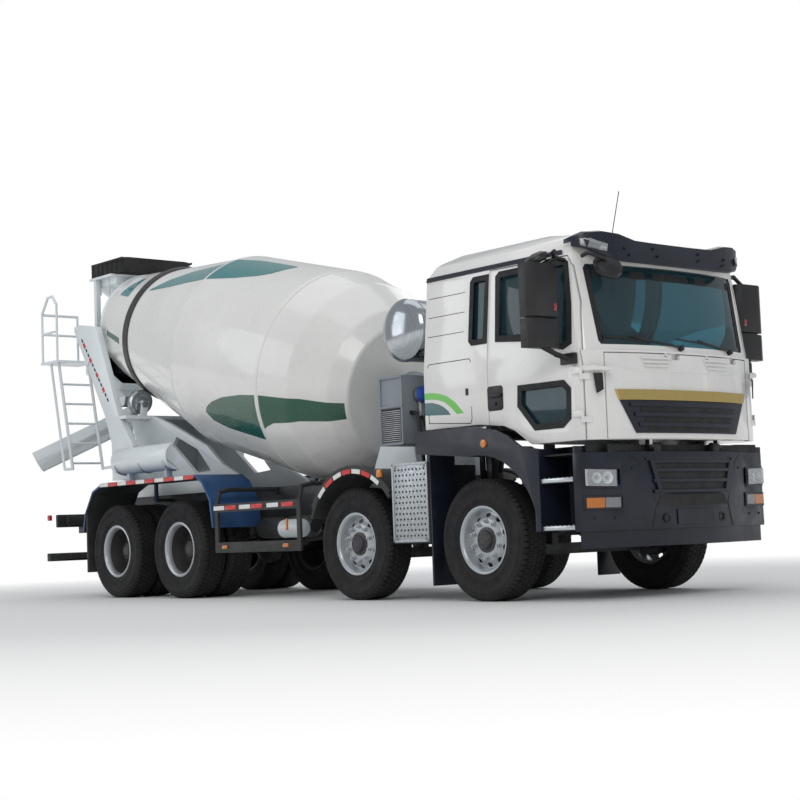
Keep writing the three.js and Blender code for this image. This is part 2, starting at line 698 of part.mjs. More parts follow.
const funnelOuter = taper(
  [[-8100, 3300], [-7760, 3300], [-7700, 3090], [-7560, 2980], [-7560, 2660], [-7780, 2600],
    [-7850, 2405], [-8060, 2405], [-8100, 2700]],
  [[-560, 3400], [-560, 2820], [-160, 2520], [-160, 2300], [160, 2300], [160, 2520], [560, 2820],
    [560, 3400]], 700);
const funnelInner = taper(
  [[-8088, 3400], [-7500, 3400], [-7500, 2674], [-7788, 2610], [-7860, 2300], [-8050, 2300],
    [-8088, 2700]],
  [[-548, 3500], [-548, 2826], [-148, 2526], [-148, 2200], [148, 2200], [148, 2526], [548, 2826],
    [548, 3500]], 700);
const funnelLugs = join(
  box(-7650, -7570, 552, legInner - seat, 2900, 2960), box(-7650, -7570, -legInner + seat, -552, 2900, 2960));
add('discharge_funnel', cut(join(funnelOuter, funnelLugs), funnelInner), mixerWhite);

// ---------------------------------------------------------------- ladder and platform (right side)
const deck = 2940;
const deckX = [-8100, -7682];
const deckY = [-1200, -660];
const ladderFoot = 1560;
const ladderTopX = -7780;
const ladderFootX = -7480;
const ladderX = (z) => ladderFootX + (ladderTopX - ladderFootX) * (z - ladderFoot) / (deck - 40 - ladderFoot);
const stiles = [-1120, -700];
const handrail = (points) => tube(points, 17);
const rungs = [1640, 1890, 2140, 2390, 2640];
const ladder = join(
  box(...deckX, ...deckY, deck - 30, deck),
  box(-7700, -7560, -legOuter - 24, -legOuter - seat, deck - 60, deck - 10),
  ...stiles.map((y) => rod([ladderX(ladderFoot), y, ladderFoot], [ladderX(deck - 10), y, deck - 10], 20, 6)),
  ...rungs.map((z) => rod([ladderX(z), stiles[0], z], [ladderX(z), stiles[1], z], 14, 4)),
  rod([ladderX(ladderFoot) - 130, stiles[0] - 40, ladderFoot], [ladderTopX - 130, stiles[0] - 40, deck - 10], 17, 6),
  rod([ladderX(ladderFoot) - 130, stiles[0] - 40, ladderFoot + 10], [ladderX(ladderFoot), stiles[0], ladderFoot + 10], 17, 6),
  rod([ladderX(ladderFoot), stiles[1], ladderFoot + 15], [-7075, -770, ladderFoot + 15], 17, 6),
  box(-7085, -7060 - seat, -legOuter, -legInner, ladderFoot - 20, ladderFoot + 50),
  handrail([
    [deckX[0] + 20, deckY[0] + 20, deck - 10], [deckX[0] + 20, deckY[0] + 20, 3560],
    [deckX[0] + 180, deckY[0] + 20, 3750], [deckX[1] - 120, deckY[0] + 20, 3750],
    [deckX[1] - 20, deckY[0] + 20, 3640], [deckX[1] - 20, deckY[0] + 20, deck - 10],
  ]),
  rod([deckX[0] + 20, deckY[0] + 20, 3300], [deckX[1] - 20, deckY[0] + 20, 3300], 15, 6),
  handrail([
    [deckX[0] + 20, deckY[0] + 20, 3550], [deckX[0] + 20, deckY[1] - 20, 3550],
    [deckX[0] + 20, deckY[1] - 20, deck - 10],
  ]),
  rod([deckX[0] + 20, deckY[0] + 20, 3300], [deckX[0] + 20, deckY[1] - 20, 3300], 15, 6),
);
add('rear_ladder', ladder, mixerWhite);

// ---------------------------------------------------------------- discharge chute
const chutePin = 2035; // height of the tilt pin
const swivelGroup = new THREE.Group();
swivelGroup.position.set(chutePostX, 0, 0);
swivelGroup.rotation.z = chuteBearing * degrees;
truck.add(swivelGroup);
const cheekInner = 62;
const cheek = (y0, y1) => alongY([
  [-55, chutePin - 140], [55, chutePin - 140], [38, chutePin + 20], ...arc([0, chutePin], 38, 30, 150, 4),
  [-38, chutePin + 20],
], y0, y1);
const swivel = join(
  rod([0, 0, chuteBearingTop + seat], [0, 0, chutePin - 100], 50, 16),
  box(-55, 55, -84, 84, chutePin - 150, chutePin - 90),
  cheek(cheekInner, 84), cheek(-84, -cheekInner),
  rod([0, -70, chutePin], [0, 70, chutePin], 16, 10),
);
add('chute_swivel', swivel, mixerWhite, swivelGroup);

const chuteGroup = new THREE.Group();
chuteGroup.position.set(0, 0, chutePin);
chuteGroup.rotation.y = chuteDrop * degrees;
swivelGroup.add(chuteGroup);
const troughAxis = chuteHinge - chutePin;
const troughLip = 20; // straight edges above the half round
const chuteStart = -180;
const chuteEnd = (chuteReach - troughAxis * Math.sin(chuteDrop * degrees)) / Math.cos(chuteDrop * degrees);
const trough = (radius, half, wall, x0, x1, height) => alongX([
  ...arc([0, height], radius, 180, 360, 12), [radius, height + half], [radius - wall, height + half],
  ...arc([0, height], radius - wall, 360, 180, 12), [-radius + wall, height + half], [-radius, height + half],
], x0, x1);
const chute = join(
  trough(chuteHalf, troughLip, chuteWall, chuteStart, chuteEnd, troughAxis),
  cut(
    alongY([[-60, troughAxis - chuteHalf + 8], [60, troughAxis - chuteHalf + 8],
      [26, 0], ...arc([0, 0], 30, 330, 210, 4), [-26, 0]], -cheekInner + seat, cheekInner - seat),
    rod([0, -80, 0], [0, 80, 0], 18, 10),
    trough(chuteHalf - chuteWall, 0, 60, chuteStart, chuteEnd, troughAxis),
  ),
);
add('main_chute', chute, brightSteel, chuteGroup);

// the extension trough stowed on the right rear mudguard
const spareX = [-6480, -5260];
const spareCentre = [-1010, 1600];
const spare = join(
  alongX([
    ...arc(spareCentre, 160, 110, 300, 12), ...arc(spareCentre, 150, 300, 110, 12),
  ], ...spareX),
  ...[spareX[0] + 200, spareX[1] - 200].map((x) =>
    box(x - 25, x + 25, spareCentre[0] - 40, spareCentre[0] + 40, rearGuardTop + seat,
      spareCentre[1] - 152)),
);
add('spare_chute_right', spare, brightSteel);

const underrun = join(
  box(-8040, -7960, -1200, 1200, 440, 540),
  ...[1, -1].map((side) => box(-8000, frameRear - seat, side * railInner, side * railOuter, 450, railTop)),
  box(-8000, -7965, -950, 950, 890, 1000),
);
add('rear_underrun', underrun, blackSteel);

// ---------------------------------------------------------------- cab
const cabGroup = new THREE.Group();
truck.add(cabGroup);
const skirtZ = 1300;

// move every edge of a counter-clockwise outline outwards by `distance`
function grow(points, distance) {
  const count = points.length;
  return points.map(([x, y], i) => {
    const [px, py] = points[(i + count - 1) % count];
    const [nx, ny] = points[(i + 1) % count];
    const before = new THREE.Vector2(y - py, px - x).normalize();
    const after = new THREE.Vector2(ny - y, x - nx).normalize();
    const bisector = before.clone().add(after).normalize();
    const reach = distance / Math.max(bisector.dot(after), 0.5);
    return [x + bisector.x * reach, y + bisector.y * reach];
  });
}

// the nose in plan, from the middle to the side, as (x, y)
const noseHalf = (inset) => [
  [1400 - inset, 0], [1393 - inset, 300], [1370 - inset, 560], [1322 - inset, 800], [1285 - inset, 930],
  [1240 - inset, 1050], [1195 - inset, 1112], [1120 - inset, 1142],
];
const nosePlan = (inset) => {
  const half = noseHalf(inset);
  const other = half.slice(1).map(([x, y]) => [x, -y]).reverse();
  return [[cabRear - 200, 1300], [cabRear - 200, -1300], [1120 - inset, -1300], ...other, ...half,
    [1120 - inset, 1300]];
};
const screenLean = 0.163; // how far the windscreen leans back for each unit of height
const screenSet = 25; // how far the windscreen stands behind the nose
const cowl = 2100;
const sillLine = (rise) => [
  [cabRear, cabRearSill + rise], [-70, cabRearSill + rise], [250, 1530 + rise], [385, 1480 + rise],
  [590, cabSill + rise],
];

// the solid form of the cab, every face moved inwards by `inset` and the nose by `noseInset` more
function cabForm(inset, noseInset = 0) {
  const side = alongY([
    ...sillLine(inset).map(([x, z]) => [Math.max(x, cabRear + inset), z]), [1500, cabSill + inset],
    [1500, 3000 - inset], [1200, 3060 - inset], [950, 3125 - inset], [450, cabRoof - 18 - inset],
    [0, cabRoof - inset], [-480, cabRoof - 28 - inset], [cabRear + 90 + inset * 0.6, 3120 - inset * 0.8],
    [cabRear + inset, 2990 - inset * 0.6],
  ], -1300, 1300);
  const front = alongX([
    [cabHalf - inset, skirtZ], [cabHalf - inset, cabBelt], [cabRoofHalf - inset, cabGutter],
    [985 - inset, 3085 - inset * 0.6], [830 - inset * 0.6, 3180 - inset], [500, cabRoof - 4 - inset],
    [-500, cabRoof - 4 - inset], [-830 + inset * 0.6, 3180 - inset], [-985 + inset, 3085 - inset * 0.6],
    [-cabRoofHalf + inset, cabGutter], [-cabHalf + inset, cabBelt], [-cabHalf + inset, skirtZ],
  ], -1200, 1600);
  const lower = alongZ(nosePlan(inset + noseInset), skirtZ, cowl);
  const lean = new THREE.Matrix4().makeShear(0, 0, 0, 0, -screenLean, 0);
  const upper = solid(extrude(outline(nosePlan(inset + noseInset + screenSet)), 3400 - cowl)
    .applyMatrix4(lean).translate(0, 0, cowl));
  return side.intersect(front).intersect(lower.add(upper));
}

const cabOuter = cabForm(0);
// what lies behind a panel of even thickness on the side of the cab, open through the floor
const behindPanel = (depth) => {
  const inside = cabForm(depth, -200);
  return inside.add(inside.translate([0, 0, -200]));
};
const doorDepth = behindPanel(doorThickness);
const doorOutline = [
  [doorRear, 1547], [250, 1531], [385, 1481], [590, cabSill + 1], [doorFront, cabSill + 1], [doorFront, 1950],
  [1143, 2520], [1088, 2830], [1030, 2922], [doorRear, 2932],
];
const doorWindow = [
  [190, 2300], [600, 2258], [720, 2195], [1010, 2142], [1090, 2175], [1075, 2500], [1025, 2860], [990, 2888],
  [200, 2888], [170, 2860],
];
const kerbWindow = [
  [460, 1690], [650, 1482], [975, 1482], [1055, 1540], [1065, 1780], [1000, 1842], [470, 1845],
];
const quarterWindow = [[-165, 2330], [-135, 2300], [40, 2300], [40, 2888], [-140, 2888], [-165, 2860]];
const windscreenOutline = [
  [-925, 2150], [925, 2150], [945, 2180], [975, 2810], [950, 2850], [-950, 2850], [-975, 2810], [-945, 2180],
];
const flapTop = 2072;
const flapHalf = 925;
const flapFoot = cabSill + 4;
const throughSide = (points, sign = 1, near = 700) => alongY(points, sign * near, sign * 1300);
const doorNear = 965; // how close to the middle the corners of a door reach

const doorway = cut(throughSide(grow(doorOutline, panelGap), 1, doorNear - panelGap), behindPanel(doorThickness + panelGap));
const flapRecess = cut(
  box(1000, 1600, -flapHalf - panelGap, flapHalf + panelGap, skirtZ, flapTop + panelGap),
  alongZ(nosePlan(flapThickness + panelGap), skirtZ - 10, flapTop + panelGap + 10),
);
const hingeRadius = 13;
const knucklePin = (z0, z1) => rod([...doorPin, z0], [...doorPin, z1], hingeRadius, 10);
const doorHinges = [1540, 1900];
const cabLeaves = join(...doorHinges.map((z) => knucklePin(z - 50, z).add(alongZ([
  [doorPin[0], doorPin[1] + 12], [doorPin[0] + 4, doorPin[1] - 11], [1212, 1105], [1230, 1040], [1245, 1070],
], z - 50, z))));
const doorLeaves = join(...doorHinges.map((z) => knucklePin(z + seat, z + 50).add(alongZ([
  [doorPin[0], doorPin[1] + 10], [1110, 1160], [1100, 1130], [1170, 1085], [doorPin[0], doorPin[1] - 12],
], z + seat, z + 50))));
// the flap turns on two small hinges under the cowl
const flapPin = [1390, 2064];
const flapPinRadius = 9;
const flapHingeY = [240, 262];
const flapBarrel = rod([flapPin[0], flapHingeY[0], flapPin[1]], [flapPin[0], flapHingeY[1], flapPin[1]],
  flapPinRadius, 10);
const flapLug = join(
  rod([flapPin[0], flapHingeY[1] + seat, flapPin[1]], [flapPin[0], flapHingeY[1] + 20, flapPin[1]],
    flapPinRadius, 10),
  box(flapPin[0] - flapPinRadius, flapPin[0] + 3, flapHingeY[1] + seat, flapHingeY[1] + 20, flapPin[1],
    flapTop + panelGap + 8),
);
const pivotEar = alongY([
  [cabPivot[0] - pivotRadius, cabSill + 30], ...arc(cabPivot, pivotRadius, 180, 360, 6),
  [cabPivot[0] + pivotRadius, cabSill + 30],
], railOuter + seat, railOuter + 36);
const shell = join(
  cut(
    join(cabOuter, pivotEar, mirrored(pivotEar)),
    cabForm(cabWall, 60), doorway, mirrored(doorway), flapRecess,
    throughSide(quarterWindow), throughSide(quarterWindow, -1),
    alongX(windscreenOutline, 1020, 1600),
  ),
  cabLeaves, mirrored(cabLeaves), flapLug, mirrored(flapLug),
);
add('cab_shell', shell, cabWhite, cabGroup);

const doorSlab = join(cut(cabOuter.intersect(throughSide(doorOutline, 1, doorNear)), doorDepth, throughSide(doorWindow)),
  doorLeaves);
add('door_left', doorSlab, cabWhite, cabGroup);
add('door_right', cut(mirrored(doorSlab), throughSide(kerbWindow, -1)), cabWhite, cabGroup);

const glassDepth = 24;
const glassThickness = 8;
const glassSheet = cut(cabForm(glassDepth), cabForm(glassDepth + glassThickness));
const doorGlass = glassSheet.intersect(throughSide(grow(doorWindow, -seat)));
add('door_glass_left', doorGlass, tintedGlass, cabGroup);
add('door_glass_right', mirrored(doorGlass), tintedGlass, cabGroup);
const screen = cut(cabForm(10), cabForm(10 + glassThickness))
  .intersect(alongX(grow(windscreenOutline, -seat), 1020, 1600));
add('windscreen', screen, tintedGlass, cabGroup);

const flapShape = cut(alongZ(nosePlan(0), flapFoot, flapTop), alongZ(nosePlan(flapThickness), flapFoot - 5, flapTop + 5));
const wiperNotches = [-150, 690].map((y) => box(1200, 1600, y - 55, y + 55, flapTop - 45, flapTop + 20));
const lugNotch = box(1200, 1600, flapHingeY[1], flapHingeY[1] + 26, flapTop - 32, flapTop + 20);
const flap = cut(
  join(flapShape.intersect(box(1000, 1600, -flapHalf, flapHalf, skirtZ, 2200)), flapBarrel, mirrored(flapBarrel)),
  ...wiperNotches, lugNotch, mirrored(lugNotch),
);
add('front_flap', flap, cabWhite, cabGroup);

const visorBlock = alongY([
  [1010, 3050], [1010, 3165], [1080, 3190], [1190, 3160], [1330, 3060], [1395, 2960], [1385, 2860], [1345, 2850],
  [1180, 2880],
], -1090, 1090).intersect(alongZ([
  [900, -1090], [1215, -1090], [1290, -980], [1350, -760], [1392, -400], [1400, 0], [1392, 400], [1350, 760],
  [1290, 980], [1215, 1090], [900, 1090],
], 2700, 3300));
add('roof_visor', cut(visorBlock, cabForm(-seat)), navyPlastic, cabGroup);

// mirrors stand off the front edge of each door
const mirrorPlan = [[925, 1200], [1010, 1190], [1062, 1235], [1062, 1480], [1020, 1550], [930, 1550]];
const mirrorHousing = join(
  alongZ(mirrorPlan, 2385, 2835),
  alongZ(mirrorPlan, 2125, 2365),
  box(940, 1010, 1230, 1500, 2355, 2395),
);
const mirrorArms = join(
  box(1010, 1176, cabHalf + seat, cabHalf + 36, 1985, 2078),
  tube([[1100, cabHalf + 20, 2030], [1050, 1260, 2070], [1000, 1370, 2135]], 24),
  tube([[1020, 1082, 2885], [1015, 1180, 2900], [990, 1340, 2825]], 20),
);
const mirror = join(mirrorHousing, mirrorArms);
add('mirror_left', mirror, blackPlastic, cabGroup);
add('mirror_right', mirrored(mirror), blackPlastic, cabGroup);

// seats, dashboard and steering wheel on the engine tunnel
const floorTop = cabRearSill + cabWall + seat;
const seatAt = (y) => join(
  box(-140, 330, y - 180, y + 180, floorTop, 1960),
  box(-190, 380, y - 250, y + 250, 1940, 2080),
  alongY([[-210, 2020], [-60, 2020], [-150, 2760], [-260, 2760]], y - 240, y + 240),
);
const wheelTurn = solid(ring([[208, -14], [232, -14], [232, 14], [208, 14]], 20)
  .rotateX(Math.PI / 2).rotateY(-28 * degrees));
const wheelCentre = [770, 550, 2215];
const dash = alongY([[930, 1800], [1210, 1800], [1240, 2090], [1180, 2120], [960, 2075], [900, 1950]], -1040, 1040)
  .intersect(cabForm(cabWall + 20, 70));
const interior = join(
  box(-600, 520, -300, 300, floorTop, 1760),
  box(500, 1000, -260, 260, 1660, 1860),
  dash, seatAt(550), seatAt(-550),
  box(-150, 320, -560, 560, floorTop, 1680),
  wheelTurn.translate(wheelCentre),
  box(wheelCentre[0] - 12, wheelCentre[0] + 12, 550 - 215, 550 + 215, 2200, 2228),
  rod([wheelCentre[0] - 5, 550, 2215], [990, 550, 2010], 30, 8),
);
add('cab_interior', interior, trimGrey, cabGroup);

// the origin is under the middle of the truck's length
const front = noseX;
const lipReach = chuteReach + troughLip * Math.sin(chuteDrop * degrees);
const lipBearing = chuteBearing * degrees;
const rear = chutePostX + lipReach * Math.cos(lipBearing) + chuteHalf * Math.sin(lipBearing);
truck.children.forEach((child) => { child.position.x -= (front + rear) / 2; });

export default truck;
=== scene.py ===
"""Looks of a concrete mixer truck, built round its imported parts."""

import json
import math
from contextlib import contextmanager

import bmesh
import bpy
from bpy.props import FloatProperty, FloatVectorProperty, IntProperty, PointerProperty
from mathutils import Matrix, Vector
from mathutils.bvhtree import BVHTree

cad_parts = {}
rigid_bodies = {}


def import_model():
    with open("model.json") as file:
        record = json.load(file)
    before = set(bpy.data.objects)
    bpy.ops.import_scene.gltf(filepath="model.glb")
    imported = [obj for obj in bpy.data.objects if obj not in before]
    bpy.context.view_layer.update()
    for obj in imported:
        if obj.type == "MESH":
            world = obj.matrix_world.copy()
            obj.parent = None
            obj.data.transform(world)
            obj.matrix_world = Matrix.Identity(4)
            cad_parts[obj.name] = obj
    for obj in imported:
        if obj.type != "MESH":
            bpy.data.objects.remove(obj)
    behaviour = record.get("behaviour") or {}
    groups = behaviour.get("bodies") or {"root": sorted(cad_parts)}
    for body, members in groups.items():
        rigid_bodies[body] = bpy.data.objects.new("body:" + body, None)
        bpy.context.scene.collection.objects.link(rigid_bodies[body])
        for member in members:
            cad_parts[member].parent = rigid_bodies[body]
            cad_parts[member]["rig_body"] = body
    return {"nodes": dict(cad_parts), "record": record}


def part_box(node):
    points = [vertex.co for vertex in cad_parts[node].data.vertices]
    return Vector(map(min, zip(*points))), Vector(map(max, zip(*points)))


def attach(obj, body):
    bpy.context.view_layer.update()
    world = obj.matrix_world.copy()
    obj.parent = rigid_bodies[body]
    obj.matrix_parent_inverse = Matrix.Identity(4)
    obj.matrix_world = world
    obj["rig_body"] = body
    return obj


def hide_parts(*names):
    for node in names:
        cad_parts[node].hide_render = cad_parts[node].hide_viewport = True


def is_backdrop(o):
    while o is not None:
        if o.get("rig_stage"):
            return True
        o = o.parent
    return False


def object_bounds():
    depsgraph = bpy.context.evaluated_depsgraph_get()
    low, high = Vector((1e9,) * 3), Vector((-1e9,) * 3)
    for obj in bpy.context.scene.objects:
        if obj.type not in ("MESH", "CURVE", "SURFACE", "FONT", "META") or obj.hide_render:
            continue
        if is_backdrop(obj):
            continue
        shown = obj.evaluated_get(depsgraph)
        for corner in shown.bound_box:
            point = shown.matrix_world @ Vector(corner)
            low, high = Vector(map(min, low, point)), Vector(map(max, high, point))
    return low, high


bl_info = {
    "name": "Concrete mixer truck",
    "version": (1, 0, 0),
    "blender": (4, 5, 0),
    "location": "View3D > Sidebar > Mixer Truck",
    "description": "Builds the visible pieces of a concrete mixer truck round its frame",
    "category": "Object",
}

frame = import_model()
NODES = frame["nodes"]
CAD_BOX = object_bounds()
SLOTS = {part["node"]: part["material_slot"] for part in frame["record"]["subparts"]}


def middle_of(node):
    low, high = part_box(node)
    return (low + high) / 2


# Places along the truck are given forward of the first axle.
AXLE = [middle_of(f"tyre_{n}_left").x for n in (1, 2)]
AXLE += [middle_of(f"twin_wheel_{n}_left").x for n in (3, 4)]
HUB_HEIGHT = middle_of("tyre_1_left").z
SIDES = (("left", 1.0), ("right", -1.0))
DRUM_TILT = math.radians(14.4)
DRUM_AXIS = Vector((math.cos(DRUM_TILT), 0.0, -math.sin(DRUM_TILT)))
RING = Vector((AXLE[0] - 6.62, 0.0, 3.18))
POST_X = AXLE[0] - 7.96
CHUTE_PIN = Vector((POST_X, 0.0, 2.035))
CHUTE_TURN = math.radians(232)
CHUTE_DROP = math.radians(24)


def at(x, y, z):
    """A point given forward of the first axle."""
    return Vector((AXLE[0] + x, y, z))


# ------------------------------------------------------------------ modelling
def deselect():
    if bpy.context.object and bpy.context.object.mode != "OBJECT":
        bpy.ops.object.mode_set(mode="OBJECT")
    bpy.ops.object.select_all(action="DESELECT")


def pick(obj):
    deselect()
    obj.select_set(True)
    bpy.context.view_layer.objects.active = obj
    return obj


@contextmanager
def editing(obj):
    """Edit mode on one piece, with all of it selected."""
    pick(obj)
    bpy.ops.object.mode_set(mode="EDIT")
    bpy.ops.mesh.select_all(action="SELECT")
    yield
    bpy.ops.object.mode_set(mode="OBJECT")


def face_outwards(doubles=None):
    """In edit mode, merge corners that lie together and turn all faces outwards."""
    if doubles:
        bpy.ops.mesh.remove_doubles(threshold=doubles)
    bpy.ops.mesh.normals_make_consistent(inside=False)


def named(name):
    """Name the piece that was just made."""
    obj = bpy.context.object
    obj.name = name
    obj.data.name = name
    return obj


def settle(obj):
    """Put the object's place and turn into its mesh."""
    pick(obj)
    bpy.ops.object.transform_apply(location=True, rotation=True, scale=True)
    return obj


def apply(obj, kind, **values):
    """Add a modifier with its settings and apply it."""
    pick(obj)
    modifier = obj.modifiers.new(kind.title(), kind)
    for key, value in values.items():
        setattr(modifier, key, value)
    bpy.ops.object.modifier_apply(modifier=modifier.name)
    return obj


def bevelled(obj, width, segments=2, angle=30):
    if width <= 0:
        return obj
    return apply(obj, "BEVEL", width=width, segments=segments, limit_method="ANGLE",
                 angle_limit=math.radians(angle))


def smooth(obj, angle=35):
    pick(obj)
    bpy.ops.object.shade_smooth_by_angle(angle=math.radians(angle))
    return obj


def block(name, low, high, bevel=0.004):
    """A box between two corners, its edges rounded."""
    low, high = Vector(low), Vector(high)
    size = Vector([abs(v) for v in high - low])
    deselect()
    bpy.ops.mesh.primitive_cube_add(size=1, location=(low + high) / 2, scale=size)
    obj = settle(named(name))
    bevelled(obj, min(bevel, min(size) * 0.45))
    return smooth(obj)


def turn_to(axis):
    """The turn that brings upright onto an axis."""
    return Vector((0, 0, 1)).rotation_difference(Vector(axis)).to_euler()


def barrel(name, start, end, radius, vertices=24, bevel=0.0, tip=None):
    """A round bar or disc from start to end."""
    start, end = Vector(start), Vector(end)
    span = end - start
    deselect()
    if tip is None:
        bpy.ops.mesh.primitive_cylinder_add(vertices=vertices, radius=radius, depth=span.length,
                                            location=(start + end) / 2, rotation=turn_to(span))
    else:
        bpy.ops.mesh.primitive_cone_add(vertices=vertices, radius1=radius, radius2=tip,
                                        depth=span.length, location=(start + end) / 2,
                                        rotation=turn_to(span))
    obj = settle(named(name))
    bevelled(obj, bevel)
    return smooth(obj)


def outline_mesh(name, points, fill="NGON"):
    """A ring of corners, added as a circle and moved to its points."""
    deselect()
    bpy.ops.mesh.primitive_circle_add(vertices=len(points), radius=1, fill_type=fill)
    obj = named(name)
    for vertex, point in zip(obj.data.vertices, points):
        vertex.co = point
    return obj


def plate(name, points, push, bevel=0.003, angle=30):
    """A flat outline carried along `push`."""
    obj = outline_mesh(name, [Vector(p) for p in points])
    with editing(obj):
        bpy.ops.mesh.extrude_region_move(TRANSFORM_OT_translate={"value": tuple(push)})
        bpy.ops.mesh.select_all(action="SELECT")
        face_outwards()
    bevelled(obj, bevel, angle=angle)
    return smooth(obj)


def side_plate(name, points, near, far, bevel=0.003):
    """An outline of (x, z) points on the side of the truck, between two distances from its middle."""
    return plate(name, [at(x, near, z) for x, z in points], (0, far - near, 0), bevel)


def front_plate(name, points, near, far, bevel=0.003):
    """An outline of (y, z) points facing forward, between two places along the truck."""
    return plate(name, [at(near, y, z) for y, z in points], (far - near, 0, 0), bevel)


def plan_plate(name, points, low, high, bevel=0.003):
    """An outline of (x, y) points seen from above, between two heights."""
    return plate(name, [at(x, y, low) for x, y in points], (0, 0, high - low), bevel)


def spun(name, profile, centre, axis, steps=64, closed=False, angle=35):
    """A profile of (radius, distance along the axis) points turned about the axis."""
    axis = Vector(axis).normalized()
    across = axis.orthogonal().normalized()
    centre = Vector(centre)
    obj = outline_mesh(name, [centre + across * r + axis * a for r, a in profile], "NOTHING")
    with editing(obj):
        if not closed:
            mesh = bmesh.from_edit_mesh(obj.data)
            mesh.verts.ensure_lookup_table()
            ends = {mesh.verts[0], mesh.verts[len(profile) - 1]}
            for edge in [edge for edge in mesh.edges if set(edge.verts) == ends]:
                mesh.edges.remove(edge)
            bmesh.update_edit_mesh(obj.data)
            bpy.ops.mesh.select_all(action="SELECT")
        bpy.ops.mesh.spin(steps=steps, angle=math.tau, center=centre, axis=axis)
        bpy.ops.mesh.select_all(action="SELECT")
        face_outwards(0.0001)
    return smooth(obj, angle)


def pipe(name, points, radius, resolution=4, cyclic=False, bend=0.0):
    """A round pipe through its points."""
    points = [Vector(p) for p in points]
    if bend > 0:
        points = rounded_corners(points, bend)
    deselect()
    bpy.ops.curve.primitive_nurbs_path_add()
    obj = named(name)
    curve = obj.data
    curve.splines.clear()
    spline = curve.splines.new("POLY")
    spline.points.add(len(points) - 1)
    for place, point in zip(spline.points, points):
        place.co = (*point, 1.0)
    spline.use_cyclic_u = cyclic
    curve.bevel_depth = radius
    curve.bevel_resolution = resolution
    curve.use_fill_caps = True
    pick(obj)
    bpy.ops.object.convert(target="MESH")
    return smooth(settle(bpy.context.object), 40)


def rounded_corners(points, radius, steps=4):
    """Replace each inner corner of a line by a short arc."""
    result = [points[0]]
    for before, corner, after in zip(points, points[1:], points[2:]):
        reach = min(radius, (corner - before).length * 0.45, (after - corner).length * 0.45)
        start = corner + (before - corner).normalized() * reach
        end = corner + (after - corner).normalized() * reach
        for i in range(steps + 1):
            t = i / steps
            result.append(start.lerp(corner, t).lerp(corner.lerp(end, t), t))
    result.append(points[-1])
    return result


def merge(name, pieces):
    """Join like pieces into one object."""
    deselect()
    for piece in pieces:
        piece.select_set(True)
    bpy.context.view_layer.objects.active = pieces[0]
    if len(pieces) > 1:
        bpy.ops.object.join()
    return named(name)


def copy_of(obj, name, shift=(0, 0, 0)):
    """The same piece again, moved by `shift`, with a mesh of its own."""
    new = obj.copy()
    new.data = obj.data.copy()
    new.name = new.data.name = name
    bpy.context.scene.collection.objects.link(new)
    new.data.transform(Matrix.Translation(shift))
    return new


def turn_over(obj):
    """Mirror a piece to the truck's other side."""
    obj.data.transform(Matrix.Scale(-1, 4, (0, 1, 0)))
    with editing(obj):
        face_outwards()


TREES = {}  # search trees of the frame pieces that were touched so far


def touch(nodes, start, way):
    """Where a line first meets one of the named frame pieces."""
    start, way, hits = Vector(start), Vector(way).normalized(), []
    for node in nodes:
        if node not in TREES:
            mesh, place = NODES[node].data, NODES[node].matrix_world
            TREES[node] = BVHTree.FromPolygons([place @ v.co for v in mesh.vertices],
                                               [p.vertices[:] for p in mesh.polygons])
        hit = TREES[node].ray_cast(start, way)[0]
        if hit is not None:
            hits.append(hit)
    return min(hits, key=lambda hit: (hit - start).length) if hits else None


def on_side(nodes, x, z, sign, proud=0.003):
    """A point just outside the named pieces, seen square from one side of the truck."""
    hit = touch(nodes, at(x, sign * 2, z), (0, -sign, 0))
    return at(x, hit.y + sign * proud, z) if hit else None


def on_front(nodes, y, z, proud=0.003):
    """A point just in front of the named pieces."""
    hit = touch(nodes, at(2.5, y, z), (-1, 0, 0))
    return Vector((hit.x + proud, y, z)) if hit else None


def grown(points, distance):
    """Move each edge of a flat outline outwards, or inwards when the distance is negative."""
    count = len(points)
    area = sum(a[0] * b[1] - b[0] * a[1] for a, b in zip(points, points[1:] + points[:1]))
    side = distance if area > 0 else -distance
    result = []
    for i in range(count):
        before, here, after = (Vector(points[(i + k) % count]) for k in (-1, 0, 1))
        first, second = (here - before).normalized(), (after - here).normalized()
        normals = Vector((first.y, -first.x)), Vector((second.y, -second.x))
        reach = side / max(0.35, 1 + normals[0].dot(normals[1]))
        result.append(tuple(here + (normals[0] + normals[1]) * reach))
    return result


def grid(name, columns, rows, place):
    """A net of faces with each corner where `place` puts it, given its share of the way both ways."""
    deselect()
    bpy.ops.mesh.primitive_grid_add(x_subdivisions=columns, y_subdivisions=rows, size=1)
    obj = named(name)
    for vertex in obj.data.vertices:
        vertex.co = place(vertex.co.x + 0.5, vertex.co.y + 0.5)
    return obj


def ribbon(name, first, second, thickness=0.004, cyclic=True, shade=30):
    """A thin strip between two lines of points."""
    if cyclic:
        first, second = first + first[:1], second + second[:1]
    last = len(first) - 1
    obj = grid(name, last, 1, lambda u, v: (second if v > 0.5 else first)[round(u * last)])
    with editing(obj):
        face_outwards(0.00005)
    apply(obj, "SOLIDIFY", thickness=thickness, offset=0)
    return smooth(obj, shade)


def side_frame(name, points, nodes, sign, outer, inner, proud=0.003, thickness=0.006):
    """A flat border round an outline on the side of the truck."""
    rim = [on_side(nodes, x, z, sign, proud) for x, z in grown(points, outer)]
    edge = [at(x, place.y, z) for (x, z), place in zip(grown(points, -inner), rim)]
    return ribbon(name, rim, edge, thickness)


def side_laid(name, points, nodes, sign, proud=0.003, depth=0.006, bevel=0.0008):
    """A thin plate lying on the side of the truck."""
    return plate(name, [on_side(nodes, x, z, sign, proud) for x, z in points],
                 (0, -sign * depth, 0), bevel)


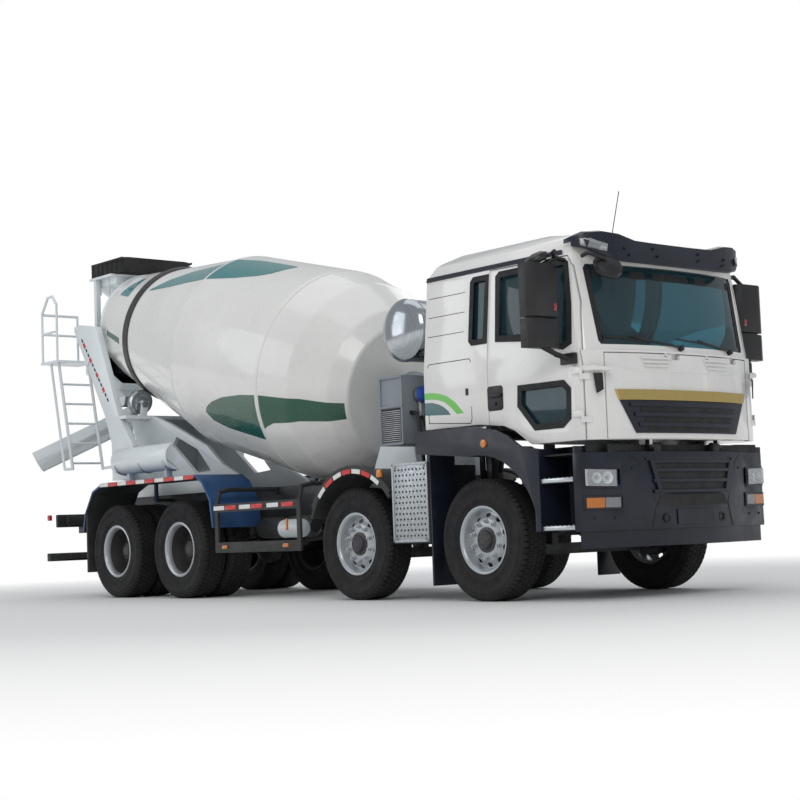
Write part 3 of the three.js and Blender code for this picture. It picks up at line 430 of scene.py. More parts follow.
def loft(name, sections, shade=40):
    """A closed skin through rings of points, its two ends filled."""
    rings = [list(ring) + [ring[0]] for ring in sections]
    columns, rows = len(rings) - 1, len(rings[0]) - 1
    obj = grid(name, columns, rows, lambda u, v: rings[round(u * columns)][round(v * rows)])
    with editing(obj):
        bpy.ops.mesh.remove_doubles(threshold=0.00005)
        bpy.ops.mesh.fill_holes(sides=0)
        bpy.ops.mesh.select_all(action="SELECT")
        face_outwards()
    return smooth(obj, shade)


def trapeze(low_half, low, high_half, high):
    """The four (y, z) corners of an upright panel in the middle of the truck."""
    return [(-low_half, low), (low_half, low), (high_half, high), (-high_half, high)]


# the height at which each upright front piece is felt for its plan curve
FELT_AT = {"front_flap": 1.55, "front_bumper": 0.66}


def nose_patch(name, corners, node, proud=0.003, thickness=0.006, steps=8):
    """A panel between four (y, z) corners that follows the plan curve of an upright front piece."""
    low_left, low_right, top_right, top_left = (Vector(c) for c in corners)
    low, high = [], []
    for i in range(steps + 1):
        t = i / steps
        for line, (start, end) in ((low, (low_left, low_right)), (high, (top_left, top_right))):
            y, z = start.lerp(end, t)
            line.append(Vector((on_front([node], y, FELT_AT[node], proud).x, y, z)))
    return ribbon(name, low, high, thickness, False, 50)


def finish(obj, body, slot, material):
    """Paint a piece and let it move with its body; its slot is not used."""
    obj.data.materials.clear()
    obj.data.materials.append(material)
    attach(obj, body)
    return obj


def refined(node, material, width, shade):
    """A copy of a frame node with rounded edges and smooth curves, shown in its place."""
    source = NODES[node]
    obj = bpy.data.objects.new(f"{node}_skin", source.data.copy())
    bpy.context.scene.collection.objects.link(obj)
    with editing(obj):
        bpy.ops.mesh.remove_doubles(threshold=0.00015)
        bpy.ops.mesh.dissolve_limited(angle_limit=math.radians(0.6))
    bevelled(obj, width)
    smooth(obj, shade)
    finish(obj, source["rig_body"], SLOTS[node], material)
    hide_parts(node)


# ------------------------------------------------------------------ finishes
class Finish:
    """A procedural material and the few nodes that its detail is built from."""

    def __init__(self, name, rough, metallic=0.0, coat=0.0, coat_rough=0.05):
        self.material = bpy.data.materials.new(name)
        self.material.use_nodes = True
        self.tree = self.material.node_tree
        self.shader = self.tree.nodes["Principled BSDF"]
        self.shader.inputs["Metallic"].default_value = metallic
        self.shader.inputs["Roughness"].default_value = rough
        self.shader.inputs["Coat Weight"].default_value = coat
        self.shader.inputs["Coat Roughness"].default_value = coat_rough
        self.place = self.node("ShaderNodeTexCoord").outputs["Object"]

    def node(self, kind, **values):
        node = self.tree.nodes.new(kind)
        for key, value in values.items():
            setattr(node, key, value)
        return node

    def link(self, source, target):
        self.tree.links.new(source, target)

    def mapped(self, scale=(1, 1, 1), turn=(0, 0, 0), move=(0, 0, 0)):
        node = self.node("ShaderNodeMapping")
        node.inputs["Scale"].default_value = scale
        node.inputs["Rotation"].default_value = turn
        node.inputs["Location"].default_value = move
        self.link(self.place, node.inputs["Vector"])
        return node.outputs["Vector"]

    def noise(self, scale, detail=4.0, rough=0.6, vector=None):
        node = self.node("ShaderNodeTexNoise")
        node.inputs["Scale"].default_value = scale
        node.inputs["Detail"].default_value = detail
        node.inputs["Roughness"].default_value = rough
        self.link(vector or self.place, node.inputs["Vector"])
        return node.outputs["Fac"]

    def spread(self, value, low, high, start=0.35, end=0.65):
        node = self.node("ShaderNodeMapRange")
        node.inputs["From Min"].default_value = start
        node.inputs["From Max"].default_value = end
        node.inputs["To Min"].default_value = low
        node.inputs["To Max"].default_value = high
        self.link(value, node.inputs["Value"])
        return node.outputs["Result"]

    def maths(self, operation, first, second=0.0):
        node = self.node("ShaderNodeMath", operation=operation)
        for socket, value in zip(node.inputs, (first, second)):
            if isinstance(value, (int, float)):
                socket.default_value = value
            else:
                self.link(value, socket)
        return node.outputs["Value"]

    def axis(self, vector, letter):
        node = self.node("ShaderNodeSeparateXYZ")
        self.link(vector, node.inputs["Vector"])
        return node.outputs[letter]

    def mix(self, share, first, second):
        node = self.node("ShaderNodeMix", data_type="RGBA")
        if isinstance(share, (int, float)):
            node.inputs["Factor"].default_value = share
        else:
            self.link(share, node.inputs["Factor"])
        for socket, value in ((node.inputs[6], first), (node.inputs[7], second)):
            if isinstance(value, tuple):
                socket.default_value = (*value, 1)
            else:
                self.link(value, socket)
        return node.outputs[2]

    def colour(self, value):
        if isinstance(value, tuple):
            self.shader.inputs["Base Color"].default_value = (*value, 1)
        else:
            self.link(value, self.shader.inputs["Base Color"])

    def roughness(self, value):
        self.link(value, self.shader.inputs["Roughness"])

    def bump(self, height, strength=0.1, distance=0.002):
        node = self.node("ShaderNodeBump")
        node.inputs["Strength"].default_value = strength
        node.inputs["Distance"].default_value = distance
        self.link(height, node.inputs["Height"])
        self.link(node.outputs["Normal"], self.shader.inputs["Normal"])


DUST = (0.24, 0.235, 0.22)


def road_dust(finish, colour, amount, top=1.3):
    """Dust that thins out with height above the road."""
    low = finish.spread(finish.axis(finish.place, "Z"), 1.0, 0.0, 0.1, top)
    patches = finish.spread(finish.noise(7.0, 6.0, 0.7), 0.35, 1.0)
    share = finish.maths("MULTIPLY", finish.maths("MULTIPLY", low, patches), amount)
    return finish.mix(share, colour, DUST)


def painted(name, colour, rough=0.32, coat=0.5, metallic=0.0, dust=0.22, peel=0.03):
    """Sprayed paint: slight cloudiness, fine orange peel, a little road dust."""
    finish = Finish(name, rough, metallic, coat, 0.08)
    shade = tuple(c * 0.93 for c in colour)
    cloudy = finish.mix(finish.spread(finish.noise(1.7, 3.0), 0.0, 1.0), colour, shade)
    finish.colour(road_dust(finish, cloudy, dust))
    finish.roughness(finish.spread(finish.noise(5.0, 5.0), rough * 0.85, rough * 1.25))
    finish.bump(finish.noise(420.0, 2.0), peel, 0.0006)
    return finish.material


def plastic(name, colour, rough=0.55, dust=0.3, grain=0.25, scale=900.0):
    """Moulded plastic with a fine grain."""
    finish = Finish(name, rough)
    shade = tuple(min(1.0, c * 1.35 + 0.004) for c in colour)
    mottled = finish.mix(finish.spread(finish.noise(3.0, 5.0), 0.0, 1.0), colour, shade)
    finish.colour(road_dust(finish, mottled, dust))
    finish.roughness(finish.spread(finish.noise(11.0, 4.0), rough * 0.88, rough * 1.15))
    finish.bump(finish.noise(scale, 2.0), grain, 0.0005)
    return finish.material


def tyre_rubber(name):
    finish = Finish(name, 0.8)
    finish.shader.inputs["Specular IOR Level"].default_value = 0.3
    worn = finish.mix(finish.spread(finish.noise(4.0, 6.0, 0.7), 0.0, 1.0),
                      (0.009, 0.009, 0.010), (0.019, 0.019, 0.020))
    finish.colour(road_dust(finish, worn, 0.06, 1.0))
    finish.roughness(finish.spread(finish.noise(20.0, 4.0), 0.68, 0.9))
    finish.bump(finish.noise(260.0, 3.0), 0.25, 0.001)
    return finish.material


def metal(name, colour, rough=0.3, streaks=(2.0, 2.0, 90.0), dust=0.12, bump=0.04):
    """Bare metal with fine streaks along its working direction."""
    finish = Finish(name, rough, 1.0)
    lines = finish.noise(6.0, 6.0, 0.65, finish.mapped(streaks))
    shade = tuple(c * 0.8 for c in colour)
    brushed = finish.mix(finish.spread(lines, 0.0, 1.0), colour, shade)
    finish.colour(road_dust(finish, brushed, dust))
    finish.roughness(finish.spread(lines, rough * 0.75, min(1.0, rough * 1.5)))
    finish.bump(lines, bump, 0.0008)
    return finish.material


def glass(name, colour):
    """Tinted glass with faint smears."""
    finish = Finish(name, 0.02)
    finish.shader.inputs["Transmission Weight"].default_value = 0.9
    finish.shader.inputs["IOR"].default_value = 1.45
    smears = finish.spread(finish.noise(2.5, 4.0), 0.0, 1.0)
    finish.colour(finish.mix(smears, colour, tuple(c * 0.94 for c in colour)))
    return finish.material


def tape(name, colour):
    """Reflective tape with a small diamond pattern."""
    finish = Finish(name, 0.35, coat=0.4)
    cells = finish.node("ShaderNodeTexVoronoi")
    cells.inputs["Scale"].default_value = 130.0
    finish.link(finish.place, cells.inputs["Vector"])
    share = finish.spread(cells.outputs["Distance"], 0.0, 0.35, 0.0, 1.0)
    finish.colour(finish.mix(share, colour, tuple(c * 0.6 for c in colour)))
    return finish.material


def lamp(name, colour, ribs=240.0, transmission=0.35):
    """A ribbed lamp lens."""
    finish = Finish(name, 0.08, coat=1.0, coat_rough=0.02)
    finish.shader.inputs["Transmission Weight"].default_value = transmission
    wave = finish.node("ShaderNodeTexWave", bands_direction="Z")
    wave.inputs["Scale"].default_value = ribs / math.tau
    wave.inputs["Distortion"].default_value = 0.0
    finish.link(finish.place, wave.inputs["Vector"])
    share = finish.spread(wave.outputs["Fac"], 0.0, 0.4, 0.0, 1.0)
    finish.colour(finish.mix(share, colour, tuple(c * 0.55 for c in colour)))
    finish.bump(wave.outputs["Fac"], 0.2, 0.001)
    return finish.material


def drum_paint(name, settings):
    """White paint, clouded a little by dried splashes."""
    finish = Finish(name, 0.3, 0.0, 0.6, 0.06)
    white = tuple(settings.drum_white)
    cloudy = finish.mix(finish.spread(finish.noise(1.3, 3.0), 0.0, 1.0), white,
                        tuple(c * 0.94 for c in white))
    splash = finish.spread(finish.noise(6.0, 8.0, 0.75), 0.0, 0.14, 0.58, 0.75)
    finish.colour(finish.mix(splash, cloudy, (0.52, 0.52, 0.50)))
    finish.roughness(finish.spread(finish.noise(4.0, 5.0), 0.24, 0.4))
    finish.bump(finish.noise(3.2, 2.0), 0.05, 0.01)
    return finish.material


# ------------------------------------------------------------------ settings
def colour_prop(name, description, default):
    return FloatVectorProperty(name=name, description=description, subtype="COLOR", size=3,
                               min=0.0, max=1.0, default=default)


class MixerSettings(bpy.types.PropertyGroup):
    """Sizes and colours a user may change."""

    cab_colour: colour_prop("Cab", "Paint of the cab", (0.80, 0.795, 0.775))
    drum_white: colour_prop("Drum", "Paint of the drum", (0.79, 0.79, 0.765))
    mixer_white: colour_prop("Mixer frame", "Paint of the stand, hopper and ladder",
                             (0.74, 0.79, 0.81))
    band_green: colour_prop("Low band", "Band low on the drum", (0.003, 0.085, 0.045))
    band_teal: colour_prop("Top band", "Band along the top of the drum", (0.008, 0.20, 0.21))
    guard_blue: colour_prop("Rear guards", "Plastic of the rear mudguards", (0.008, 0.055, 0.16))
    glass_tint: colour_prop("Glass", "Tint of the cab windows", (0.11, 0.27, 0.32))
    louvre_count: IntProperty(name="Louvres", description="Pressed louvres each side of the flap",
                              default=3, min=1, max=6)
    stud_count: IntProperty(name="Wheel studs", description="Studs on each wheel",
                            default=10, min=6, max=12)
    tread_pitch: FloatProperty(name="Tread pitch", description="Distance between tread blocks",
                               default=0.053, min=0.03, max=0.12, unit="LENGTH")


PAINT = {}


def mix_paints(settings):
    PAINT.update(
        cab_white=painted("cab_paint", tuple(settings.cab_colour), 0.22, 0.8, dust=0.07),
        mixer_white=painted("mixer_paint", tuple(settings.mixer_white), 0.34, 0.4, dust=0.3),
        drum_white=drum_paint("drum_paint", settings),
        chassis_black=painted("chassis_paint", (0.012, 0.013, 0.015), 0.5, 0.1, dust=0.16),
        casting_grey=painted("casting_paint", (0.22, 0.25, 0.28), 0.5, 0.1, dust=0.25, peel=0.12),
        cooler_dark=plastic("cooler_core", (0.035, 0.036, 0.038), 0.7),
        wheel_steel=painted("wheel_silver", (0.50, 0.53, 0.56), 0.32, 0.3, metallic=0.55, dust=0.3),
        hub_dark=painted("hub_paint", (0.03, 0.028, 0.03), 0.45, 0.1, dust=0.15),
        bright_steel=metal("bright_steel", (0.66, 0.69, 0.71), 0.24),
        mirror_steel=metal("polished_steel", (0.46, 0.49, 0.52), 0.13, (1, 30, 1), 0.02, 0.01),
        galvanised=metal("galvanised_steel", (0.55, 0.58, 0.60), 0.42, (8, 8, 8), 0.2, 0.1),
        chute_steel=metal("chute_steel", (0.70, 0.73, 0.74), 0.33, (3, 3, 3), 0.15, 0.1),
        black_plastic=plastic("black_plastic", (0.008, 0.008, 0.009), 0.42, 0.1),
        guard_black=plastic("guard_plastic", (0.014, 0.016, 0.015), 0.55, 0.15),
        # black guard plastic; also the painted shade on the wheel side of the rear mudguards
        blue_plastic=plastic("guard_blue", tuple(settings.guard_blue), 0.42, 0.22, 0.15),
        navy_plastic=plastic("navy_plastic", (0.0040, 0.0060, 0.016), 0.36, 0.04, 0.12),
        collar_rubber=plastic("collar_rubber", (0.012, 0.012, 0.012), 0.8, 0.1, 0.5, 300.0),
        seal=plastic("rubber_seal", (0.008, 0.008, 0.009), 0.7, 0.1),
        tyre=tyre_rubber("tyre_rubber"),
        tinted_glass=glass("tinted_glass", tuple(settings.glass_tint)),
        mirror_glass=metal("mirror_glass", (0.85, 0.88, 0.9), 0.02, (1, 1, 1), 0.0, 0.0),
        lens_clear=lamp("clear_lens", (0.86, 0.9, 0.92), 300.0, 0.75),
        reflector=metal("lamp_reflector", (0.82, 0.84, 0.86), 0.08, (1, 1, 1), 0.0, 0.0),
        lens_orange=lamp("orange_lens", (0.95, 0.28, 0.01), 420.0),
        lens_red=lamp("red_lens", (0.62, 0.01, 0.008), 420.0),
        tape_red=tape("red_tape", (0.68, 0.015, 0.012)),
        tape_white=tape("white_tape", (0.82, 0.82, 0.80)),
        trim_gold=metal("warm_trim", (0.72, 0.54, 0.20), 0.12, (2, 60, 2), 0.0, 0.02),
        stripe_green=painted("stripe_green", (0.10, 0.50, 0.03), 0.3, 0.7, dust=0.1),
        stripe_teal=painted("stripe_teal", (0.006, 0.10, 0.11), 0.3, 0.7, dust=0.1),
        band_green=painted("band_green", tuple(settings.band_green), 0.26, 0.6, dust=0.05),
        band_teal=painted("band_teal", tuple(settings.band_teal), 0.26, 0.6, dust=0.05),
        cab_trim=plastic("cab_trim", (0.045, 0.046, 0.05), 0.75, 0.0),
        seat_cloth=plastic("seat_cloth", (0.06, 0.062, 0.07), 0.92, 0.0, 0.6, 700.0),
        cap_blue=plastic("cap_blue", (0.01, 0.05, 0.30), 0.35, 0.0),
        # near-black for mesh, gaps, holes and dark dashes; also the painted shade of the nose shade plate
        dark_mesh=plastic("dark_mesh", (0.006, 0.006, 0.007), 0.6, 0.1),
        bolt_steel=metal("bolt_steel", (0.42, 0.43, 0.44), 0.38, (1, 1, 1), 0.2, 0.05),
    )


def piece(obj, body, slot, paint):
    """Finish a piece with one of the mixed paints."""
    return finish(obj, body, slot, PAINT[paint])


def fitted(name, parts, body, slot, paint):
    """Join parts into one named piece and finish it."""
    return piece(merge(name, parts), body, slot, paint)


# ------------------------------------------------------------------ frame pieces kept in their own shape
REFINED = {
    # node: (paint, edge radius, smoothing angle)
    "chassis_frame": ("chassis_black", 0.008, 30), "rear_bogie": ("chassis_black", 0.01, 40),
    "front_axle_1": ("chassis_black", 0.008, 40), "front_axle_2": ("chassis_black", 0.008, 40),
    "knuckle_1_left": ("chassis_black", 0.004, 40), "knuckle_1_right": ("chassis_black", 0.004, 40),
    "knuckle_2_left": ("chassis_black", 0.004, 40), "knuckle_2_right": ("chassis_black", 0.004, 40),
    "engine_block": ("casting_grey", 0.02, 35), "fuel_tank": ("bright_steel", 0.06, 40),
    "battery_box_left": ("chassis_black", 0.01, 30), "exhaust_box_right": ("chassis_black", 0.01, 30),
    "side_guard_left": ("guard_black", 0.006, 40), "side_guard_right": ("guard_black", 0.006, 40),
    "mudguard_2_left": ("guard_black", 0.006, 40), "mudguard_2_right": ("guard_black", 0.006, 40),
    "rear_mudguard_left": ("blue_plastic", 0.006, 40), "rear_mudguard_right": ("blue_plastic", 0.006, 40),
    "entry_steps_left": ("navy_plastic", 0.006, 40), "entry_steps_right": ("navy_plastic", 0.006, 40),
    "front_bumper": ("navy_plastic", 0.012, 40), "drum_pedestal": ("mixer_white", 0.008, 30),
    "drum_gearbox": ("casting_grey", 0.012, 40), "water_tank": ("mirror_steel", 0.006, 50),
    "hydraulic_cooler": ("casting_grey", 0.012, 30), "rear_stand": ("mixer_white", 0.006, 30),
    "feed_hopper": ("mixer_white", 0.004, 30), "hopper_collar": ("collar_rubber", 0.006, 40),
    "discharge_funnel": ("mixer_white", 0.004, 30), "rear_ladder": ("mixer_white", 0.003, 50),
    "chute_swivel": ("mixer_white", 0.005, 40), "main_chute": ("mixer_white", 0.003, 50),
    "spare_chute_right": ("mixer_white", 0.003, 50), "rear_underrun": ("chassis_black", 0.01, 30),
    "cab_shell": ("cab_white", 0.012, 40), "door_left": ("cab_white", 0.006, 40),
    "door_right": ("cab_white", 0.006, 40), "door_glass_left": ("tinted_glass", 0.001, 40),
    "door_glass_right": ("tinted_glass", 0.001, 40), "windscreen": ("tinted_glass", 0.001, 45),
    "front_flap": ("cab_white", 0.008, 40),
    "mirror_left": ("black_plastic", 0.02, 45), "mirror_right": ("black_plastic", 0.02, 45),
    "cab_interior": ("cab_trim", 0.015, 40),
}


CAB_FOOT = 1.343  # the tilt lugs hang below this height


def second_paint(node, paint, chosen):
    """Give some faces of a refined frame piece another paint."""
    mesh, name = bpy.data.objects[f"{node}_skin"].data, PAINT[paint].name
    if name not in mesh.materials:
        mesh.materials.append(PAINT[paint])
    for face in mesh.polygons:
        if chosen(face):
            face.material_index = mesh.materials.find(name)


def wheel_shade_and_flap_faces(face):
    """Whether a face of a rear mudguard looks at its wheel, to get painted shade in black, or hangs behind
    the last one, to be black all over.
    """
    near = min(AXLE[2:], key=lambda x: abs(x - face.center.x))
    wheel = Vector((near, face.center.y, HUB_HEIGHT))
    return face.normal.dot(wheel - face.center) > 0 or face.center.x < AXLE[3] - 0.2


class MIXER_OT_frame_pieces(bpy.types.Operator):
    """Round the edges of the frame's own pieces and paint them"""

    bl_idname = "mixer.frame_pieces"
    bl_label = "Frame pieces"

    def execute(self, context):
        for node, (paint, width, shade) in REFINED.items():
            refined(node, PAINT[paint], width, shade)
        second_paint("cab_shell", "chassis_black", lambda face: face.center.z < CAB_FOOT)
        # the faces of the rear mudguards that look at their wheels get black as painted shade; the part
        # behind the last wheel is black all over
        for side, _ in SIDES:
            second_paint(f"rear_mudguard_{side}", "guard_black", wheel_shade_and_flap_faces)
        return {"FINISHED"}


# ------------------------------------------------------------------ wheels
TYRE_RADIUS = HUB_HEIGHT
STEER_TRACK, TWIN_TRACK = 1.08, 0.92  # from the truck's middle to the middle of a wheel
TWIN_HALF = 0.173  # from the middle of a pair to the middle of a tyre
RIM_RADIUS = 0.2865
GROOVE_FLOOR = TYRE_RADIUS - 0.013


def tyre_body(name, centre):
    """A tyre's casing up to the bottom of its tread grooves, with ribs on its walls."""
    wall = [(RIM_RADIUS, -0.118), (0.298, -0.132), (0.312, -0.128), (0.330, -0.137), (0.352, -0.142),
            (0.356, -0.146), (0.362, -0.146), (0.366, -0.143), (0.420, -0.150), (0.462, -0.150),
            (0.466, -0.153), (0.472, -0.153), (0.476, -0.149), (0.506, -0.143), (0.521, -0.134),
            (GROOVE_FLOOR, -0.120)]
    profile = wall + [(r, -a) for r, a in reversed(wall)]
    return spun(name, profile, centre, (0, 1, 0), 72, closed=True, angle=50)


def tread(name, centre, pitch):
    """Rows of tread blocks, the shoulder rows cut deeper than the middle ones."""
    count = int(math.tau * TYRE_RADIUS / pitch)
    step = math.tau * TYRE_RADIUS / count
    rows = ((-0.127, -0.083, 0.74), (-0.077, -0.030, 0.9), (-0.024, 0.024, 0.9), (0.030, 0.077, 0.9),
            (0.083, 0.127, 0.74))
    pieces = []
    for i, (near, far, share) in enumerate(rows):
        half, skew = step * share / 2, (i % 2) * step / 2
        edge = 0.010 if i in (0, 4) else 0.0
        top, foot = TYRE_RADIUS, GROOVE_FLOOR - 0.006
        outline = [(near - (edge if i == 0 else 0), foot), (far + (edge if i == 4 else 0), foot),
                   (far, top - (edge if i == 4 else 0)), (far - edge, top), (near + edge, top),
                   (near, top - (edge if i == 0 else 0))]
        points = [centre + Vector((skew - half, y, -z)) for y, z in outline]
        pieces.append(plate(f"{name}_row", points, (2 * half, 0, 0), bevel=0))
    return around(merge(name, pieces), centre, count)


# the corners of the tread blocks, and not their middles, lie on the tyre's radius
TREAD_FIT = 0.9956


def tyre(name, centre, pitch):
    made = merge(name, [tyre_body(name, centre), tread(name + "_tread", centre, pitch)])
    for vertex in made.data.vertices:
        for axis in (0, 2):
            vertex.co[axis] = centre[axis] + (vertex.co[axis] - centre[axis]) * TREAD_FIT
    return made


def around(obj, centre, count, axis=(0, 1, 0)):
    """Repeat a piece round a wheel."""
    with editing(obj):
        bpy.ops.mesh.spin(steps=count - 1, angle=math.tau * (count - 1) / count, center=centre,
                          axis=axis, dupli=True)
    return obj


def cut_with(obj, cutter):
    """Cut a piece with another one, which is used up."""
    pick(obj)
    modifier = obj.modifiers.new("Cut", "BOOLEAN")
    modifier.object, modifier.operation, modifier.solver = cutter, "DIFFERENCE", "EXACT"
    bpy.ops.object.modifier_apply(modifier=modifier.name)
    bpy.data.objects.remove(cutter)
    return obj


def disc_with_holes(name, profile, centre, hole_radius, holes, middle, reach):
    """A dished rim with a ring of oval hand holes."""
    disc = spun(name, profile, centre, (0, 1, 0), 80, closed=True, angle=40)
    place = centre + Vector((0, 0, hole_radius))
    cutter = barrel("hand_hole", place + Vector((0, middle - reach, 0)),
                    place + Vector((0, middle + reach, 0)), 0.021, 20)
    pick(cutter)
    bpy.ops.transform.resize(value=(1.45, 1, 1), center_override=place)
    settle(cutter)
    around(cutter, centre, holes)
    return smooth(cut_with(disc, cutter), 40)


NUT_RING = 0.1675


def wheel_nuts(name, centre, face, settings):
    """Studs with nuts and washers on the rim's face."""
    place = centre + Vector((0, face, NUT_RING))
    parts = [barrel("washer", place, place + Vector((0, 0.006, 0)), 0.024, 16, 0.001),
             barrel("nut", place, place + Vector((0, 0.026, 0)), 0.0195, 6, 0.002),
             barrel("stud", place, place + Vector((0, 0.042, 0)), 0.011, 12, 0.002)]
    return around(merge(name, parts), centre, settings.stud_count)


def front_wheel(x, settings):
    """The parts of a steered wheel: object, paint, the frame node it stands for and its slot."""
    centre = Vector((x, STEER_TRACK, HUB_HEIGHT))
    rim = [(RIM_RADIUS, 0.110), (0.301, 0.124), (0.301, 0.131), (0.292, 0.133), (0.278, 0.126),
           (0.266, 0.105), (0.258, 0.058), (0.250, 0.046), (0.236, 0.046), (0.215, 0.056),
           (0.196, 0.074), (0.180, 0.084), (0.112, 0.084), (0.112, 0.072), (0.176, 0.072),
           (0.190, 0.062), (0.212, 0.042), (0.238, 0.032), (0.252, 0.030), (0.262, -0.100),
           (0.292, -0.128), (0.301, -0.124), (RIM_RADIUS, -0.110)]
    disc = disc_with_holes("rim", rim, centre, 0.219, 10, 0.05, 0.06)
    nuts = wheel_nuts("nuts", centre, 0.084, settings)
    hub = spun("hub", [(0, 0.134), (0.040, 0.134), (0.046, 0.128), (0.074, 0.126), (0.082, 0.118),
                       (0.086, 0.098), (0.112, 0.094), (0.114, 0.050), (0.050, 0.048), (0.050, -0.038),
                       (0, -0.038)],
               centre, (0, 1, 0), 48, angle=40)
    cap_bolts = around(barrel("cap_bolt", centre + Vector((0, 0.120, 0.064)),
                              centre + Vector((0, 0.131, 0.064)), 0.007, 6, 0.001), centre, 8)
    brake = spun("brake",
                 [(0.05, -0.112), (0.200, -0.112), (0.206, -0.100), (0.206, -0.036), (0.190, -0.030),
                           (0.05, -0.030)], centre, (0, 1, 0), 48, closed=True)
    return [(tyre("tyre", centre, settings.tread_pitch), "tyre", "tyre", "tyre"),
            (merge("wheel", [disc, nuts]), "wheel_steel", "wheel", "wheel_steel"),
            (merge("hub", [hub, cap_bolts, brake]), "hub_dark", None, "wheel_steel")]


def twin_wheel(x, settings):
    """The parts of a driven wheel with two tyres, told as for a steered one."""
    centre = Vector((x, TWIN_TRACK, HUB_HEIGHT))
    outer, inner = TWIN_HALF, -TWIN_HALF
    tyres = [tyre("tyre_out", centre + Vector((0, outer, 0)), settings.tread_pitch),
             tyre("tyre_in", centre + Vector((0, inner, 0)), settings.tread_pitch)]
    rim = [(RIM_RADIUS, outer + 0.110), (0.301, outer + 0.124), (0.301, outer + 0.131),
           (0.292, outer + 0.133), (0.278, outer + 0.126), (0.264, outer + 0.100), (0.260, 0.075),
           (0.246, 0.050), (0.226, 0.026), (0.205, 0.010), (0.110, 0.004), (0.110, -0.010),
           (0.208, -0.004), (0.236, 0.010), (0.262, 0.040), (0.268, 0.075), (RIM_RADIUS, 0.080)]
    disc = disc_with_holes("rim", rim, centre, 0.228, 10, 0.025, 0.05)
    back = spun("rim_in", [(r, -a - 0.004) for r, a in rim], centre, (0, 1, 0), 64, closed=True, angle=40)
    lip = spun("lip", [(RIM_RADIUS, outer + 0.112), (0.302, outer + 0.123), (0.303, outer + 0.132),
                       (0.293, outer + 0.136), (0.275, outer + 0.129), (0.261, outer + 0.104),
                       (0.257, outer + 0.070), (0.270, outer + 0.070)], centre, (0, 1, 0), 80, closed=True)
    nuts = wheel_nuts("nuts", centre, 0.004, settings)
    hub = spun("hub", [(0, 0.188), (0.052, 0.188), (0.060, 0.180), (0.088, 0.176), (0.096, 0.166),
                       (0.104, 0.060), (0.122, 0.052), (0.126, -0.005), (0.126, -0.098), (0, -0.098)],
               centre, (0, 1, 0), 48, angle=40)
    cap_bolts = around(barrel("cap_bolt", centre + Vector((0, 0.170, 0.074)),
                              centre + Vector((0, 0.186, 0.074)), 0.008, 6, 0.001), centre, 10)
    return [(merge("tyres", tyres), "tyre", "twin_wheel", "tyre"),
            (lip, "wheel_steel", None, "tyre"),
            (merge("rims", [disc, back, nuts]), "hub_dark", None, "tyre"),
            (merge("hub", [hub, cap_bolts]), "hub_dark", None, "tyre")]


class MIXER_OT_wheels(bpy.types.Operator):
    """Model the tyres, rims and hubs"""

    bl_idname = "mixer.wheels"
    bl_label = "Wheels"

    def execute(self, context):
        settings = context.scene.mixer_settings
        for body, made, axles in (("wheel", front_wheel(AXLE[0], settings), (1, 2)),
                                  ("twins", twin_wheel(AXLE[2], settings), (3, 4))):
            for axle in axles:
                shift = (AXLE[axle - 1] - AXLE[axles[0] - 1], 0, 0)
                for side, sign in SIDES:
                    for obj, paint, node, slot in made:
                        new = copy_of(obj, f"{obj.name.split('.')[0]}_{axle}_{side}", shift)
                        if sign < 0:
                            turn_over(new)
                        piece(new, f"{body}_{axle}_{side}", slot, paint)
                        if node:
                            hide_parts(f"{node}_{axle}_{side}")
            for obj, *_ in made:
                bpy.data.objects.remove(obj)
        return {"FINISHED"}


# ------------------------------------------------------------------ drum and rollers
DRUM_STATIONS = ((-0.95, 0.640), (-0.60, 0.722), (-0.058, 0.822), (0.058, 0.838), (1.55, 1.140),
                 (3.225, 1.158),
                 (3.70, 1.062), (4.12, 0.850), (4.276, 0.700))


def on_drum(along, radius=0.0, angle=0.0):
    """A point at a distance down the drum, out from its axis, turned from its top towards +Y."""
    up = Vector((math.sin(DRUM_TILT), 0, math.cos(DRUM_TILT)))
    across = Vector((0, 1, 0))
    return RING + DRUM_AXIS * along + (up * math.cos(angle) + across * math.sin(angle)) * radius


def along_line(line, along):
    """The value at a distance along a line of (distance, value) points."""
    for (start, low), (end, high) in zip(line, line[1:]):
        if along <= end:
            return low + (high - low) * (along - start) / (end - start)
    return line[-1][1]


def painted_band(name, upper, lower, sign, columns=24, rows=10):
    """A band of colour between two lines of (distance down the drum, angle from its top)."""
    start, end = max(upper[0][0], lower[0][0]), min(upper[-1][0], lower[-1][0])

    def place(u, v):
        along = start + (end - start) * u
        high, low = along_line(upper, along), along_line(lower, along)
        return on_drum(along, along_line(DRUM_STATIONS, along) + 0.0025, -sign * (high + (low - high) * v))

    obj = grid(name, columns, rows, place)
    with editing(obj):
        face_outwards(0.0002)
    apply(obj, "SOLIDIFY", thickness=0.002, offset=0)
    return smooth(obj, 30)


GREEN_BANDS = (
    ([(2.14, -2.12), (2.20, -2.06), (2.36, -1.98), (2.58, -1.905), (2.96, -1.825), (3.235, -1.786)],
     [(2.14, -2.14), (2.226, -2.216), (2.52, -2.255), (3.077, -2.247), (3.235, -2.243)]),
    ([(3.295, -1.782), (3.84, -1.758), (4.25, -1.785)],
     [(3.295, -2.12), (3.34, -2.09), (3.45, -2.045), (3.806, -2.002), (4.25, -2.02)]),
    ([(-0.69, -1.66), (-0.24, -1.70)], [(-0.69, -1.746), (-0.24, -1.797)]),
)
TEAL_BANDS = (
    ([(0.18, -0.88), (0.50, -0.70), (0.90, -0.56), (1.50, -0.46)],
     [(0.18, -0.90), (0.60, -0.86), (1.10, -0.80), (1.50, -0.766)]),
    ([(1.56, -0.34), (1.92, -0.267), (2.30, -0.262), (2.64, -0.275)],
     [(1.56, -0.764), (2.03, -0.677), (2.35, -0.59), (2.52, -0.50), (2.64, -0.285)]),
    ([(-0.62, -0.93), (-0.52, -0.72), (-0.34, -0.56)], [(-0.62, -0.99), (-0.50, -1.0), (-0.34, -1.02)]),
)


